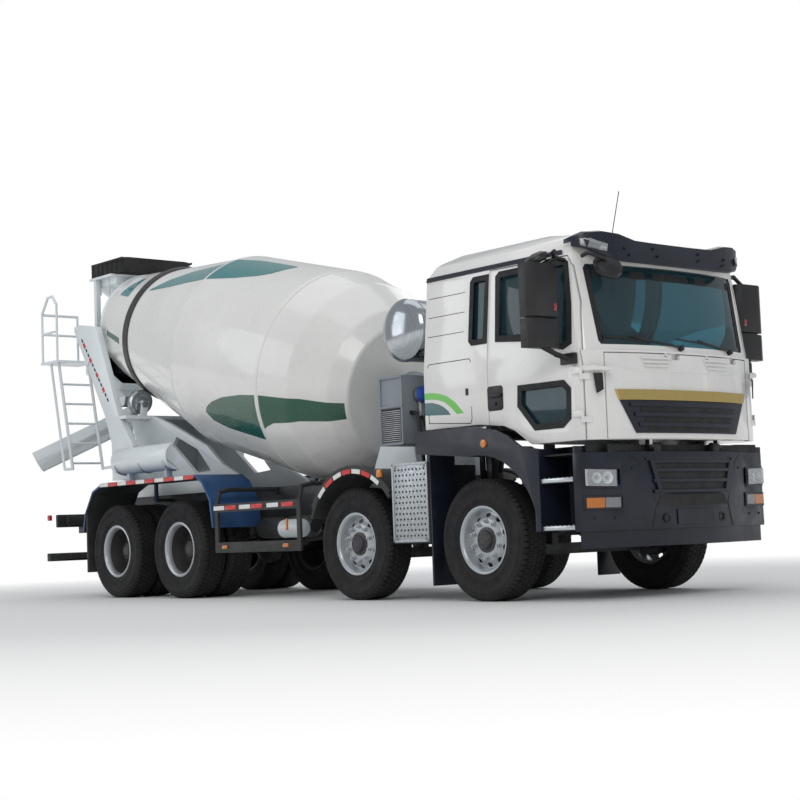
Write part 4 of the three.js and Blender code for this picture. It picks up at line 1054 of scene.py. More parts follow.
def seam(name, along, radius, width=0.016, height=0.004):
    """A welded ring round the drum."""
    profile = [(radius - 0.01, along - width), (radius + height, along - width * 0.4),
               (radius + height, along + width * 0.4), (radius - 0.01, along + width)]
    return spun(name, profile, RING, DRUM_AXIS, 112, closed=True)


def blade(name, start, end, turns, phase):
    """A spiral blade on the inside of the drum's rear cone."""
    def place(u, v):
        along = start + (end - start) * u
        wall = 0.640 + (along + 0.95) / (0.058 + 0.95) * 0.19 - 0.045
        return on_drum(along + v * 0.05, wall - v * 0.2, phase + turns * math.tau * u)

    obj = grid(name, 56, 1, place)
    apply(obj, "SOLIDIFY", thickness=0.008)
    return smooth(obj, 40)


class MIXER_OT_drum(bpy.types.Operator):
    """Model the drum, its ring, its seams and the rollers under it"""

    bl_idname = "mixer.drum"
    bl_label = "Drum"

    def execute(self, context):
        outside = [(r, a) for a, r in DRUM_STATIONS]
        inside = [(r - 0.04, min(a, 4.236)) for r, a in outside]
        profile = ([(0, 4.276)] + list(reversed(outside)) + [(0.500, -0.95), (0.500, -0.91), (0.606, -0.91)]
                   + inside[1:] + [(0, 4.236)])
        shell = spun("drum_shell", profile, RING, DRUM_AXIS, 112, angle=14)
        smooth(bevelled(shell, 0.03, 3, 5), 30)
        seams = [seam("seam", along, radius) for along, radius in ((1.53, 1.138), (3.265, 1.151))]
        fitted("drum_shell", [shell, *seams], "drum", "drum_white", "drum_white")
        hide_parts("drum")
        lip = [(0.62, -0.952), (0.655, -0.952), (0.655, -0.925), (0.648, -0.905), (0.62, -0.905)]
        ring = [(0.80, -0.055), (0.848, -0.055), (0.852, -0.050), (0.852, 0.050), (0.848, 0.055),
                (0.80, 0.055)]
        piece(spun("roller_ring", ring, RING, DRUM_AXIS, 112, closed=True), "drum", "drum_white", "hub_dark")
        piece(spun("mouth_lip", lip, RING, DRUM_AXIS, 80, closed=True), "drum", "drum_white", "mixer_white")
        blades = [blade("blade", -0.9, 0.05, 0.55, phase) for phase in (0.4, 0.4 + math.pi)]
        fitted("blades", blades, "drum", "drum_white", "bolt_steel")

        for name, bands, paint in (("green_band", GREEN_BANDS, "band_green"),
                                   ("teal_band", TEAL_BANDS, "band_teal")):
            parts = [painted_band("band", upper, lower, sign) for upper, lower in bands for sign in (1, -1)]
            fitted(name, parts, "drum", "drum_white", paint)

        # the inspection hatch, on the left of the barrel
        hatch_angle, hatch_along = math.radians(62), 2.15
        out = (on_drum(0, 1, hatch_angle) - on_drum(0, 0, hatch_angle)).normalized()
        centre = on_drum(hatch_along, 1.143, hatch_angle)
        cover = spun("hatch", [(0, 0.022), (0.17, 0.018), (0.182, 0.008), (0.19, -0.03), (0, -0.03)], centre,
                     out, 40)
        across = out.orthogonal().normalized()
        bolt = barrel("hatch_bolt", centre + across * 0.155, centre + across * 0.155 + out * 0.034, 0.012, 6,
                      0.002)
        fitted("hatch", [cover, around(bolt, centre, 10, out)], "drum", "drum_white", "mixer_white")

        for side, sign in SIDES:
            centre = middle_of(f"drum_roller_{side}")
            wheel = spun("roller",
                         [(0, -0.094), (0.028, -0.094), (0.028, -0.05), (0.112, -0.05), (0.120, -0.034),
                                    (0.140, -0.034), (0.146, -0.05), (0.150, -0.044), (0.150, 0.044),
                          (0.146, 0.05),
                                    (0.140, 0.034), (0.120, 0.034), (0.112, 0.05), (0.028, 0.05),
                          (0.028, 0.094),
                                    (0, 0.094)], centre, DRUM_AXIS, 48)
            piece(wheel, f"roller_{side}", "bright_steel", "bright_steel")
            wheel.name = f"roller_{side}"
            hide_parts(f"drum_roller_{side}")
        return {"FINISHED"}


# ------------------------------------------------------------------ cab
DOOR_WINDOW = [(0.190, 2.300), (0.600, 2.258), (0.720, 2.195), (1.010, 2.142), (1.090, 2.175),
               (1.075, 2.500),
               (1.025, 2.860), (0.990, 2.888), (0.200, 2.888), (0.170, 2.860)]
QUARTER_WINDOW = [(-0.165, 2.33), (-0.135, 2.30), (0.04, 2.30), (0.04, 2.888), (-0.14, 2.888),
                  (-0.165, 2.86)]
KERB_WINDOW = [(0.460, 1.690), (0.650, 1.482), (0.975, 1.482), (1.055, 1.540), (1.065, 1.780),
               (1.000, 1.842),
               (0.470, 1.845)]
SCREEN = [(-0.925, 2.150), (0.925, 2.150), (0.945, 2.180), (0.975, 2.810), (0.950, 2.850), (-0.950, 2.850),
          (-0.975, 2.810), (-0.945, 2.180)]


def cab_side(side, sign):
    """Borders, panes, seams, handle and stripes on one side of the cab."""
    door, shell = [f"door_{side}"], ["cab_shell"]
    both, body = door + shell, f"door_{side}"
    frame_edge = side_frame("door_window_seal", DOOR_WINDOW, both, sign, 0.022, 0.034)
    fitted(f"door_window_seal_{side}", [frame_edge], body, "cab_trim", "seal")
    quarter = side_frame("quarter_seal", QUARTER_WINDOW, shell, sign, 0.02, 0.03)
    fitted(f"quarter_seal_{side}", [quarter], "cab", "cab_trim", "seal")
    place = on_side(shell, -0.2, 2.6, sign).y - sign * 0.03
    lean = on_side(shell, -0.2, 2.9, sign).y - on_side(shell, -0.2, 2.28, sign).y
    pane = plate("pane",
                 [at(x, place + lean * (z - 2.6) / 0.62, z) for x, z in grown(QUARTER_WINDOW, 0.004)],
                 (0, -sign * 0.005, 0), 0)
    fitted(f"quarter_glass_{side}", [pane], "cab", "tinted_glass", "tinted_glass")

    # roof gutter, hatch groove and pressed ribs
    gutter = [ribbon("gutter", [on_side(both, x, 2.945, sign, 0.006) for x in (-0.79, -0.3, 0.1, 0.5, 0.98)],
                     [on_side(both, x, 2.985, sign, 0.010) for x in (-0.79, -0.3, 0.1, 0.5, 0.96)], 0.012,
                     False)]
    fitted(f"gutter_{side}", gutter, "cab", "cab_trim", "navy_plastic")
    hatch = [(-0.74, 1.62), (-0.17, 1.58), (-0.15, 1.62), (-0.15, 2.15), (-0.17, 2.17), (-0.72, 2.17),
             (-0.74, 2.15)]
    grooves = [side_frame("groove", hatch, shell, sign, 0.0, 0.007, 0.0005, 0.002)]
    grooves += [side_laid("rib_gap", [(-0.75, z), (-0.26, z), (-0.25, z + 0.006), (-0.75, z + 0.006)],
                          shell, sign, 0.0005, 0.002, 0) for z in (2.42, 2.60, 2.78)]
    fitted(f"hatch_groove_{side}", grooves, "cab", "cab_trim", "dark_mesh")
    lock = side_laid("hatch_lock", [(-0.22, 1.84), (-0.19, 1.84), (-0.19, 1.90), (-0.22, 1.90)], shell, sign,
                     0.008, 0.012)
    fitted(f"hatch_lock_{side}", [lock], "cab", "cab_trim", "black_plastic")

    # door handle in its cup
    cup = side_laid("cup",
                    [(0.06, 1.69), (0.08, 1.67), (0.24, 1.67), (0.26, 1.69), (0.26, 1.87), (0.24, 1.89),
                            (0.08, 1.89), (0.06, 1.87)], both, sign, 0.002, 0.004)
    middle = on_side(both, 0.16, 1.80, sign)
    grip = block("grip", middle + Vector((-0.075, sign * 0.002, -0.012)),
                 middle + Vector((0.085, sign * 0.022, 0.022)), 0.008)
    keyhole = barrel("lock", middle + Vector((0, 0, -0.07)), middle + Vector((0, sign * 0.012, -0.07)),
                     0.014, 20,
                     0.002)
    fitted(f"door_handle_{side}", [cup, grip, keyhole], body, "black_plastic", "black_plastic")

    # swept stripes low at the back of the cab
    green = [(-0.79, 1.905), (-0.71, 1.905), (-0.60, 1.89), (-0.48, 1.855), (-0.37, 1.79), (-0.258, 1.684),
             (-0.353, 1.682), (-0.42, 1.74), (-0.51, 1.80), (-0.60, 1.83), (-0.69, 1.842), (-0.79, 1.845)]
    teal = [(-0.79, 1.815), (-0.69, 1.812), (-0.60, 1.79), (-0.54, 1.765), (-0.47, 1.72), (-0.44, 1.682),
            (-0.60, 1.69), (-0.79, 1.70)]
    for name, outline, paint in (("stripe_green", green, "stripe_green"),
                                 ("stripe_teal", teal, "stripe_teal")):
        strip = side_laid(name, outline, shell, sign, 0.0012, 0.003, 0)
        fitted(f"{name}_{side}", [strip], "cab", "cab_white", paint)

    # mirrors: glass behind and a small reflector
    for number, (foot, top) in enumerate(((2.42, 2.80), (2.16, 2.335))):
        back = at(0.921, sign * 1.235, foot), at(0.926, sign * 1.515, top)
        pane = block("mirror_glass", *back, 0.002)
        fitted(f"mirror_glass_{side}_{number}", [pane], body, "black_plastic", "mirror_glass")
    mark = block("mark", at(1.058, sign * 1.245, 2.44), at(1.066, sign * 1.275, 2.50), 0.002)
    fitted(f"mirror_mark_{side}", [mark], body, "black_plastic", "lens_red")


def cab_mirrors():
    """The kerb mirror over the right door and the front mirror at the right pillar."""
    arm = pipe("kerb_arm", [at(1.01, -1.19, 2.90), at(1.06, -1.26, 2.93), at(1.12, -1.30, 2.93)], 0.018)
    pod = spun("pod", [(0, 0.055), (0.07, 0.045), (0.11, 0.02), (0.12, -0.01), (0.112, -0.03), (0, -0.03)],
               at(0.93, -1.33, 2.885), (-0.25, -0.35, 0.9), 32)
    fitted("kerb_mirror", [arm, pod], "door_right", "black_plastic", "black_plastic")
    centre, way = at(1.318, -0.864, 2.808), Vector((0.75, -0.25, 0.6)).normalized()
    arm = pipe("front_arm", [at(1.17, -1.02, 2.905), at(1.26, -1.04, 2.92), at(1.335, -0.90, 2.86)], 0.018,
               bend=0.06)
    pod = spun("pod",
               [(0, 0.05), (0.08, 0.042), (0.122, 0.018), (0.132, -0.012), (0.125, -0.03), (0, -0.03)],
               centre, way, 32)
    fitted("front_mirror", [arm, pod], "cab", "black_plastic", "black_plastic")
    glass_disc = spun("disc", [(0, 0.0), (0.115, 0.0), (0.115, -0.004), (0, -0.004)], centre + way * -0.031,
                      way, 32)
    fitted("front_mirror_glass", [glass_disc], "cab", "black_plastic", "mirror_glass")


def roof_pieces():
    """Antenna and roof lamp."""
    roof = touch(["cab_shell"], at(0.75, -0.2, 3.6), (0, 0, -1))
    whip = pipe("antenna", [roof, roof + Vector((0.02, 0, 0.05)), roof + Vector((0.13, 0, 0.44))], 0.004)
    foot = barrel("foot", roof + Vector((0, 0, -0.01)), roof + Vector((0.004, 0, 0.05)), 0.022, 20, 0.005,
                  0.012)
    fitted("antenna", [whip, foot], "cab", "cab_trim", "black_plastic")
    roof = touch(["cab_shell"], at(0.55, 0.05, 3.6), (0, 0, -1))
    dome = block("roof_lamp", roof + Vector((-0.07, -0.05, -0.01)), roof + Vector((0.09, 0.05, 0.045)),
                 0.018)
    piece(dome, "cab", "cab_trim", "black_plastic")


def cab_glass_edges():
    """The dark printed band round the windscreen, the kerb window and the wipers."""
    nodes = ["windscreen", "cab_shell"]
    rim = [on_front(nodes, y, z, 0.003) for y, z in grown(SCREEN, -0.006)]
    edge = [on_front(["windscreen"], y, z, 0.003) for y, z in grown(SCREEN, -0.055)]
    band = ribbon("screen_band", rim, edge, 0.003)
    lines = [[on_front(["windscreen"], y, z, 0.0035) for y in (-0.9, -0.45, 0, 0.45, 0.9)]
             for z in (2.735, 2.80)]
    top = ribbon("screen_top", *lines, 0.003, False)
    fitted("screen_band", [band, top], "cab", "cab_trim", "seal")
    arms = []
    for foot, tip in (((-0.06, 2.140), (-0.90, 2.215)), ((0.66, 2.140), (-0.06, 2.21))):
        start = on_front(["cab_shell", "front_flap", "windscreen"], foot[0], foot[1], 0.02)
        hub = barrel("wiper_hub", start + Vector((-0.02, 0, -0.01)), start + Vector((0.02, 0, 0.0)), 0.024,
                     16, 0.004)
        middle = (foot[0] * 0.35 + tip[0] * 0.65, foot[1] * 0.35 + tip[1] * 0.65)
        reach = on_front(["windscreen"], middle[0], middle[1] + 0.03, 0.03)
        arms += [hub, pipe("wiper_arm", [start, reach], 0.009)]
        ends = [on_front(["windscreen"], tip[0] + step * (foot[0] - tip[0]) * 0.9,
                         2.165 + 0.055 * (1 - step), 0.012) for step in (0, 0.25, 0.5, 0.75, 1.0)]
        arms.append(pipe("wiper_blade", ends, 0.008))
    fitted("wipers", arms, "cab", "cab_trim", "black_plastic")
    door = ["door_right"]
    piece(side_frame("kerb_window_seal", KERB_WINDOW, door, -1, 0.022, 0.03), "door_right", "cab_trim",
          "seal")
    pane = plate("kerb_window_glass", [at(x, -1.118, z) for x, z in grown(KERB_WINDOW, -0.002)],
                 (0, 0.006, 0), 0)
    piece(pane, "door_right", "tinted_glass", "tinted_glass")


def looks_inwards(face):
    """Whether a face of the cab looks at the driver's place, and is neither roof nor floor."""
    towards = (at(0.25, 0, 2.3) - face.center).normalized()
    return face.normal.dot(towards) > 0.3 and abs(face.normal.z) < 0.98


class MIXER_OT_cab(bpy.types.Operator):
    """Model the window borders, mirrors, roof lamp and small pieces of the cab"""

    bl_idname = "mixer.cab"
    bl_label = "Cab"

    def execute(self, context):
        for side, sign in SIDES:
            cab_side(side, sign)
        cab_mirrors()
        roof_pieces()
        cab_glass_edges()
        for node, paint in (("cab_shell", "chassis_black"), ("door_left", "cab_trim"),
                            ("door_right", "cab_trim")):
            second_paint(node, paint, looks_inwards)
        return {"FINISHED"}


# ------------------------------------------------------------------ front
def flap_pieces(settings):
    """The grille, its trim, the louvres and the pressed line on the front flap."""
    node, foot = "front_flap", 1.395
    trim = nose_patch("trim", trapeze(0.815, 1.675, 0.85, 1.765), node, 0.012, 0.02, 16)
    piece(bevelled(trim, 0.004, 2), node, "cab_white", "trim_gold")
    back = nose_patch("grille", trapeze(0.655, foot, 0.81, 1.675), node, 0.008, 0.014, 14)
    piece(bevelled(back, 0.004, 2), node, "cab_white", "navy_plastic")
    bars = []
    for low, high, proud in ((1.62, 1.655, 0.020), (1.535, 1.57, 0.023), (1.45, 1.485, 0.020)):
        half = 0.60 + (low - foot) * 0.5
        bars.append(nose_patch("bar", trapeze(half, low, half + 0.01, high), node, proud, 0.016, 12))
    piece(bevelled(merge("grille_bars", bars), 0.003, 2), node, "cab_white", "navy_plastic")
    holes = []
    for low, high in ((1.575, 1.615), (1.49, 1.53), (1.412, 1.445)):
        half = 0.52 + (low - foot) * 0.5
        holes.append(nose_patch("gap", trapeze(half, low, half, high), node, 0.0165, 0.004, 12))
    fitted("grille_mesh", holes, node, "cab_white", "dark_mesh")

    marks = []
    for sign in (-1, 1):
        for i in range(settings.louvre_count):
            z = 2.028 - i * 0.034
            left, right = sorted((sign * (0.215 + i * 0.02), sign * (0.575 - i * 0.02)))
            corners = [(left, z), (right, z), (right - 0.01, z + 0.018), (left + 0.01, z + 0.018)]
            marks.append(nose_patch("louvre", corners, node, 0.008, 0.014, 4))
    for (y1, z1), (y2, z2) in (((-0.92, 1.985), (-0.56, 1.915)), ((0.56, 1.915), (0.92, 1.985)),
                               ((-0.56, 1.915), (0.56, 1.915))):
        corners = [(y1, z1), (y2, z2), (y2, z2 + 0.007), (y1, z1 + 0.007)]
        marks.append(nose_patch("fold", corners, node, 0.001, 0.002, 4))
    piece(bevelled(merge("louvres", marks), 0.003, 2), node, "cab_white", "cab_white")


def corner_panels():
    """Air deflectors either side of the flap: a wing over a dark slot."""
    wings, slots = [], []
    for sign in (-1, 1):
        def across(y, z, x):
            return at(x, sign * y, z)
        rings = [[across(1.135, 1.975, 1.11), across(1.165, 1.965, 1.12), across(1.168, 1.925, 1.12),
                  across(1.135, 1.915, 1.11)],
                 [across(1.06, 1.975, 1.27), across(1.075, 1.96, 1.30), across(1.075, 1.925, 1.30),
                  across(1.05, 1.91, 1.27)],
                 [across(0.94, 1.955, 1.33), across(0.935, 1.945, 1.375), across(0.935, 1.915, 1.375),
                  across(0.93, 1.905, 1.33)]]
        wings.append(bevelled(loft("wing", rings), 0.006, 2))
        slots.append(plate("slot",
                           [across(1.05, 1.90, 1.262), across(0.99, 1.90, 1.308), across(0.985, 1.76, 1.308),
                                    across(1.03, 1.73, 1.272)], (0.012, sign * 0.004, 0), 0.002))
    fitted("corner_wings", wings, "cab", "cab_white", "cab_white")
    fitted("corner_slots", slots, "cab", "cab_white", "dark_mesh")


# the bumper's face lies back by this much, so that its grille bars end on the foremost plane of the frame
BUMPER_SINK = 0.0245
LAMP_PATCHES = (
    # name, paint, nearest and furthest y, low and high edge, how proud, how deep, how far the edges slant
    ("lamp_bowl", "reflector", 0.875, 1.165, 0.955, 1.095, 0.004, 0.008, 0.01),
    ("headlamp", "lens_clear", 0.87, 1.175, 0.95, 1.10, 0.020, 0.008, 0.01),
    ("lamp_frame", "navy_plastic", 0.85, 1.185, 0.93, 1.12, 0.002, 0.012, 0.01),
    ("fog_lamp", "lens_clear", 0.835, 0.985, 0.775, 0.86, 0.012, 0.010, 0.0),
    ("turn_lamp", "lens_orange", 0.99, 1.165, 0.775, 0.86, 0.012, 0.010, 0.0),
    ("fog_frame", "navy_plastic", 0.815, 1.185, 0.755, 0.88, 0.004, 0.012, 0.0),
)


def bumper_pieces():
    """Lamps, lower grille, seams, towing eyes and number panel of the bumper."""
    node, body, before = "front_bumper", "chassis", set(bpy.data.objects)

    def on_face(y, z, proud=0.0):
        return Vector((on_front([node], y, FELT_AT[node], proud).x, y, z))

    def lamp_patch(side, sign, name, paint, near, far, low, high, proud, depth, slant):
        ends = [(sign * near, low), (sign * far, low + slant), (sign * far, high),
                (sign * near, high - slant)]
        if sign < 0:
            ends = [ends[1], ends[0], ends[3], ends[2]]
        patch = nose_patch(f"{name}_{side}", ends, node, proud, depth, 8)
        piece(bevelled(patch, min(0.008, depth * 0.4), 3), body, "navy_plastic", paint)

    for side, sign in reversed(SIDES):
        lamp_patch(side, sign, *LAMP_PATCHES[0])
        bowls = []
        for y, r in ((0.955, 0.052), (1.06, 0.046)):
            bowl = [(0.012, -0.004), (r * 0.6, 0.002), (r, 0.010), (r - 0.004, 0.011), (r * 0.5, 0.004),
                    (0.012, 0.0)]
            bowls.append(spun("bowl", bowl, on_face(sign * y, 1.025, 0.008), (1, sign * 0.35, 0), 32,
                              closed=True))
        fitted(f"lamp_bowls_{side}", bowls, body, "navy_plastic", "reflector")
        for patch in LAMP_PATCHES[1:]:
            lamp_patch(side, sign, *patch)
    # seams between the centre panel and the lamp panels, then the lower grille
    seams = []
    for sign in (-1, 1):
        line = [(sign * 0.74, 1.23), (sign * 0.64, 1.16), (sign * 0.47, 0.80), (sign * 0.53, 0.59)]
        for (y2, z2), (y1, z1) in zip(line, line[1:]):
            corners = [(y1, z1), (y1 + 0.012, z1), (y2 + 0.012, z2), (y2, z2)]
            seams.append(nose_patch("seam", corners, node, 0.0015, 0.003, 1))
    fitted("bumper_seams", seams, body, "navy_plastic", "dark_mesh")
    bars = [nose_patch("bar", trapeze(0.50, low, 0.50, high), node, 0.014, 0.02, 6)
            for low, high in ((0.885, 0.915), (0.975, 1.005), (1.065, 1.095), (1.14, 1.165))]
    for low, high in ((-0.43, -0.52), (0.43, 0.52)):
        corners = [(low - 0.02, 0.885), (low + 0.02, 0.885), (high + 0.02, 1.165), (high - 0.02, 1.165)]
        bars.append(nose_patch("post", corners, node, 0.015, 0.022, 1))
    piece(bevelled(merge("lower_grille", bars), 0.004, 2), body, "navy_plastic", "navy_plastic")
    mesh = nose_patch("mesh", trapeze(0.42, 0.89, 0.50, 1.14), node, 0.002, 0.004, 6)
    gap = nose_patch("mesh_low", trapeze(0.46, 0.78, 0.42, 0.865), node, 0.002, 0.004, 6)
    fitted("lower_mesh", [mesh, gap], body, "navy_plastic", "dark_mesh")
    panel = nose_patch("number_panel", trapeze(0.24, 0.615, 0.24, 0.745), node, 0.008, 0.01, 4)
    piece(bevelled(panel, 0.003, 2), body, "navy_plastic", "navy_plastic")
    eyes, ring = [], [(0.028, 0.0), (0.042, 0.0), (0.042, 0.008), (0.028, 0.008)]
    for sign in (-1, 1):
        eyes.append(spun("eye", ring, on_face(sign * 0.36, 0.67), (1, 0, 0), 28, closed=True))
        for y, z in ((0.70, 1.10), (0.88, 0.69), (1.08, 0.69), (0.56, 1.18)):
            base = on_face(sign * y, z)
            eyes.append(barrel("bolt", base, base + Vector((0.008, 0, 0)), 0.011, 12, 0.002))
    fitted("bumper_bolts", eyes, body, "navy_plastic", "dark_mesh")
    # nose shade: a near-black plate in the gap between the bumper and the flap, painted shade
    piece(front_plate("nose_shade", trapeze(0.93, 1.20, 0.93, 1.305), 1.290, 1.302), body, "chassis_black",
          "dark_mesh")
    for obj in [bpy.data.objects["front_bumper_skin"]] + list(set(bpy.data.objects) - before):
        for vertex in obj.data.vertices:
            vertex.co.x -= BUMPER_SINK * min(1.0, max(0.0, (vertex.co.x - 1.15) / 0.25))


VISOR = [
    # y, top, lower edge, how far forward the top and the lower edge stand
    (-1.06, 3.080, 2.990, 1.10, 1.12), (-1.00, 3.118, 2.965, 1.17, 1.21), (-0.86, 3.128, 2.890, 1.24, 1.30),
    (-0.70, 3.115, 2.855, 1.27, 1.345), (-0.50, 3.070, 2.850, 1.28, 1.365),
    (-0.25, 3.066, 2.848, 1.28, 1.375),
    (0.0, 3.066, 2.847, 1.28, 1.378)]


def visor():
    """The roof visor: a bowed shade whose two ends stand up as ears over the lamps."""
    stations = VISOR + [(-y, *rest) for y, *rest in reversed(VISOR[:-1])]
    roof = 2.90
    rings = []
    for y, top, low, back, fore in stations:
        rings.append([at(back - 0.10, y, top - 0.012), at(back - 0.02, y, top),
                      at(back + 0.03, y, top - 0.014),
                      at(back + (fore - back) * 0.7, y, top + (low - top) * 0.5), at(fore, y, low + 0.012),
                      at(fore - 0.012, y, low), at(fore - 0.035, y, low + 0.006),
                      at(back + (fore - back) * 0.5 - 0.03, y, top + (low - top) * 0.5),
                      at(back - 0.10, y, max(roof, top - 0.09) if abs(y) < 0.9 else top - 0.05)])
    skin = loft("roof_visor_skin", rings, 50)
    piece(skin, "cab", "navy_plastic", "navy_plastic")
    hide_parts("roof_visor")
    lamps, bolts = [], []
    for sign in (-1, 1):
        corners = [(0.86, 2.935, 1.305), (1.035, 2.995, 1.165), (1.03, 3.055, 1.152), (0.97, 3.052, 1.222),
                   (0.84, 3.0, 1.300)]
        lamps.append(plate("end_lamp", [at(x, sign * y, z) for y, z, x in corners],
                           (0.012, sign * 0.004, 0.0), 0.003))
        for y, z, x in ((0.97, 3.085, 1.20), (0.66, 2.975, 1.33), (0.30, 3.0, 1.335), (0.62, 2.92, 1.35),
                        (0.27, 2.935, 1.36)):
            foot = at(x, sign * y, z)
            bolts.append(barrel("bolt", foot, foot + Vector((0.012, 0, 0.004)), 0.012, 14, 0.003))
    fitted("visor_lamps", lamps, "cab", "navy_plastic", "lens_clear")
    fitted("visor_bolts", bolts, "cab", "navy_plastic", "dark_mesh")


class MIXER_OT_front(bpy.types.Operator):
    """Model the visor, the grille on the flap, the corner panels and the bumper's lamps"""

    bl_idname = "mixer.front"
    bl_label = "Front"

    def execute(self, context):
        flap_pieces(context.scene.mixer_settings)
        corner_panels()
        bumper_pieces()
        visor()
        return {"FINISHED"}


# ------------------------------------------------------------------ sides
TAPE_TURN = ("tape_white", "tape_red")
TAPE_HALF = 0.022  # half the width of a tape


def lump(name, spot, low, high, bevel=0.004):
    """A block whose two corners are measured from a spot."""
    return block(name, spot + Vector(low), spot + Vector(high), bevel)


def tapes(name, lengths, body, slot):
    """Join the red and the white lengths of tape into two pieces."""
    for paint, pieces in lengths.items():
        if pieces:
            fitted(f"{name}_{paint}", pieces, body, slot, paint)


def guard_tapes(side, sign):
    """Tapes along the upper rail of a side guard and marker lamps on its lower rail."""
    node = f"side_guard_{side}"
    lengths = {"tape_white": [], "tape_red": [], "lens_orange": []}
    for i, x in enumerate((-4.10, -3.88, -3.62, -3.40, -3.12, -2.86)):
        hit = on_side([node], x, 0.965, sign, 0.003)
        if hit:
            lengths[TAPE_TURN[i % 2]].append(lump("tape", hit, (-0.10, -sign * 0.003, -0.022),
                                                  (0.10, sign * 0.001, 0.022), 0.0006))
    for x in (-4.0, -2.9):
        hit = on_side([node], x, 0.55, sign, 0.0)
        if hit:
            lengths["lens_orange"].append(lump("marker", hit, (-0.045, -sign * 0.004, -0.02),
                                               (0.045, sign * 0.014, 0.02)))
    tapes(f"guard_{side}", lengths, "chassis", "black_plastic")


def outer_face(node, sign):
    """How far out a frame piece reaches on one side of the truck."""
    low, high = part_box(node)
    return high.y if sign > 0 else low.y


def arc_tapes(name, node, centre_x, radius, start, end, count, sign, body, slot):
    """Tape bent over the edge of a mudguard."""
    lengths = {"tape_white": [], "tape_red": []}
    y = outer_face(node, sign) + sign * 0.001
    for i in range(count):
        angles = [start + (end - start) * (i + step / 4 * 0.86) / count for step in range(5)]
        edges = [[at(centre_x + math.cos(a) * reach, y, HUB_HEIGHT + math.sin(a) * reach) for a in angles]
                 for reach in (radius - TAPE_HALF, radius + TAPE_HALF)]
        lengths[TAPE_TURN[i % 2]].append(ribbon("tape", *edges, 0.003, False))
    tapes(name, lengths, body, slot)


def flat_tapes(name, node, xs, z, sign, body, slot):
    """Tape along the straight edge of a mudguard."""
    lengths = {"tape_white": [], "tape_red": []}
    y = outer_face(node, sign)
    for i, (start, end) in enumerate(zip(xs, xs[1:])):
        lengths[TAPE_TURN[i % 2]].append(block("tape", at(start + 0.008, y - 0.002, z - TAPE_HALF),
                                               at(end - 0.008, y + 0.002, z + TAPE_HALF), 0.0006))
    tapes(name, lengths, body, slot)


def steps(side, sign):
    """Ribbed bright treads on the entry steps and the marker lamp on the arch."""
    node = f"entry_steps_{side}"
    treads, ribs = [], []
    for z in (1.03, 0.63):
        hit = touch([node], at(0.96, sign * 1.12, z + 0.3), (0, 0, -1))
        level = hit.z if hit and hit.z < z + 0.1 else z
        edge = on_side([node], 0.96, level - 0.012, sign, 0.0)
        y = edge.y if edge else sign * 1.18
        treads.append(block("tread", at(0.78, y - sign * 0.17, level + 0.001),
                            at(1.15, y - sign * 0.002, level + 0.006),
                            0.002))
        treads.append(block("lip", at(0.78, y - sign * 0.006, level - 0.028),
                            at(1.15, y + sign * 0.004, level + 0.006),
                            0.002))
        for i in range(7):
            x = 0.80 + i * 0.052
            ribs.append(block("rib", at(x, y - sign * 0.16, level + 0.005),
                              at(x + 0.018, y - sign * 0.01, level + 0.012),
                              0.002))
    fitted(f"step_treads_{side}", treads + ribs, "chassis", "navy_plastic", "bright_steel")
    hit = on_side([node], 0.10, 1.385, sign, 0.0)
    if hit:
        marker = barrel("marker", hit + Vector((0, -sign * 0.004, 0)), hit + Vector((0, sign * 0.014, 0)),
                        0.036, 28,
                        0.004)
        fitted(f"arch_marker_{side}", [marker], "chassis", "navy_plastic", "lens_orange")


def perforated_plate():
    """The bright plate between the second axle and the cab, its holes in slanting rows."""
    y = outer_face("exhaust_box_right", -1)
    sheet = block("sheet", at(-1.17, y - 0.004, 0.54), at(-0.69, y - 0.0005, 1.27), 0.001)
    edges = [block("edge", at(-1.18, y - 0.010, z - 0.012), at(-0.68, y - 0.0005, z + 0.012), 0.003)
             for z in (0.552, 1.262)]
    edges += [block("edge", at(x - 0.012, y - 0.010, 0.54), at(x + 0.012, y - 0.0005, 1.27), 0.003)
              for x in (-1.172, -0.688)]
    fitted("perforated_plate", [sheet, *edges], "chassis", "chassis_black", "galvanised")
    pitch, left, foot = 0.051, -1.135, 0.60
    hole = barrel("hole", at(left, y - 0.0052, foot), at(left, y - 0.003, foot), 0.011, 10)
    holes = [hole] + [copy_of(hole, "hole", (i * pitch + (j % 2) * 0.012, 0, j * pitch))
                      for i in range(9) for j in range(13) if i or j]
    fitted("plate_holes", holes, "chassis", "chassis_black", "dark_mesh")
    studs = [barrel("stud", at(x, y - 0.014, z), at(x, y, z), 0.012, 12, 0.002) for x in (-1.14, -0.72)
             for z in (0.57, 1.24)]
    fitted("plate_bolts", studs, "chassis", "chassis_black", "bolt_steel")


TANK = at(-1.255, 0, 2.56)  # middle of the water tank
TANK_RADIUS, TANK_HALF = 0.300, 0.960
COOLER_FOOT = 1.47


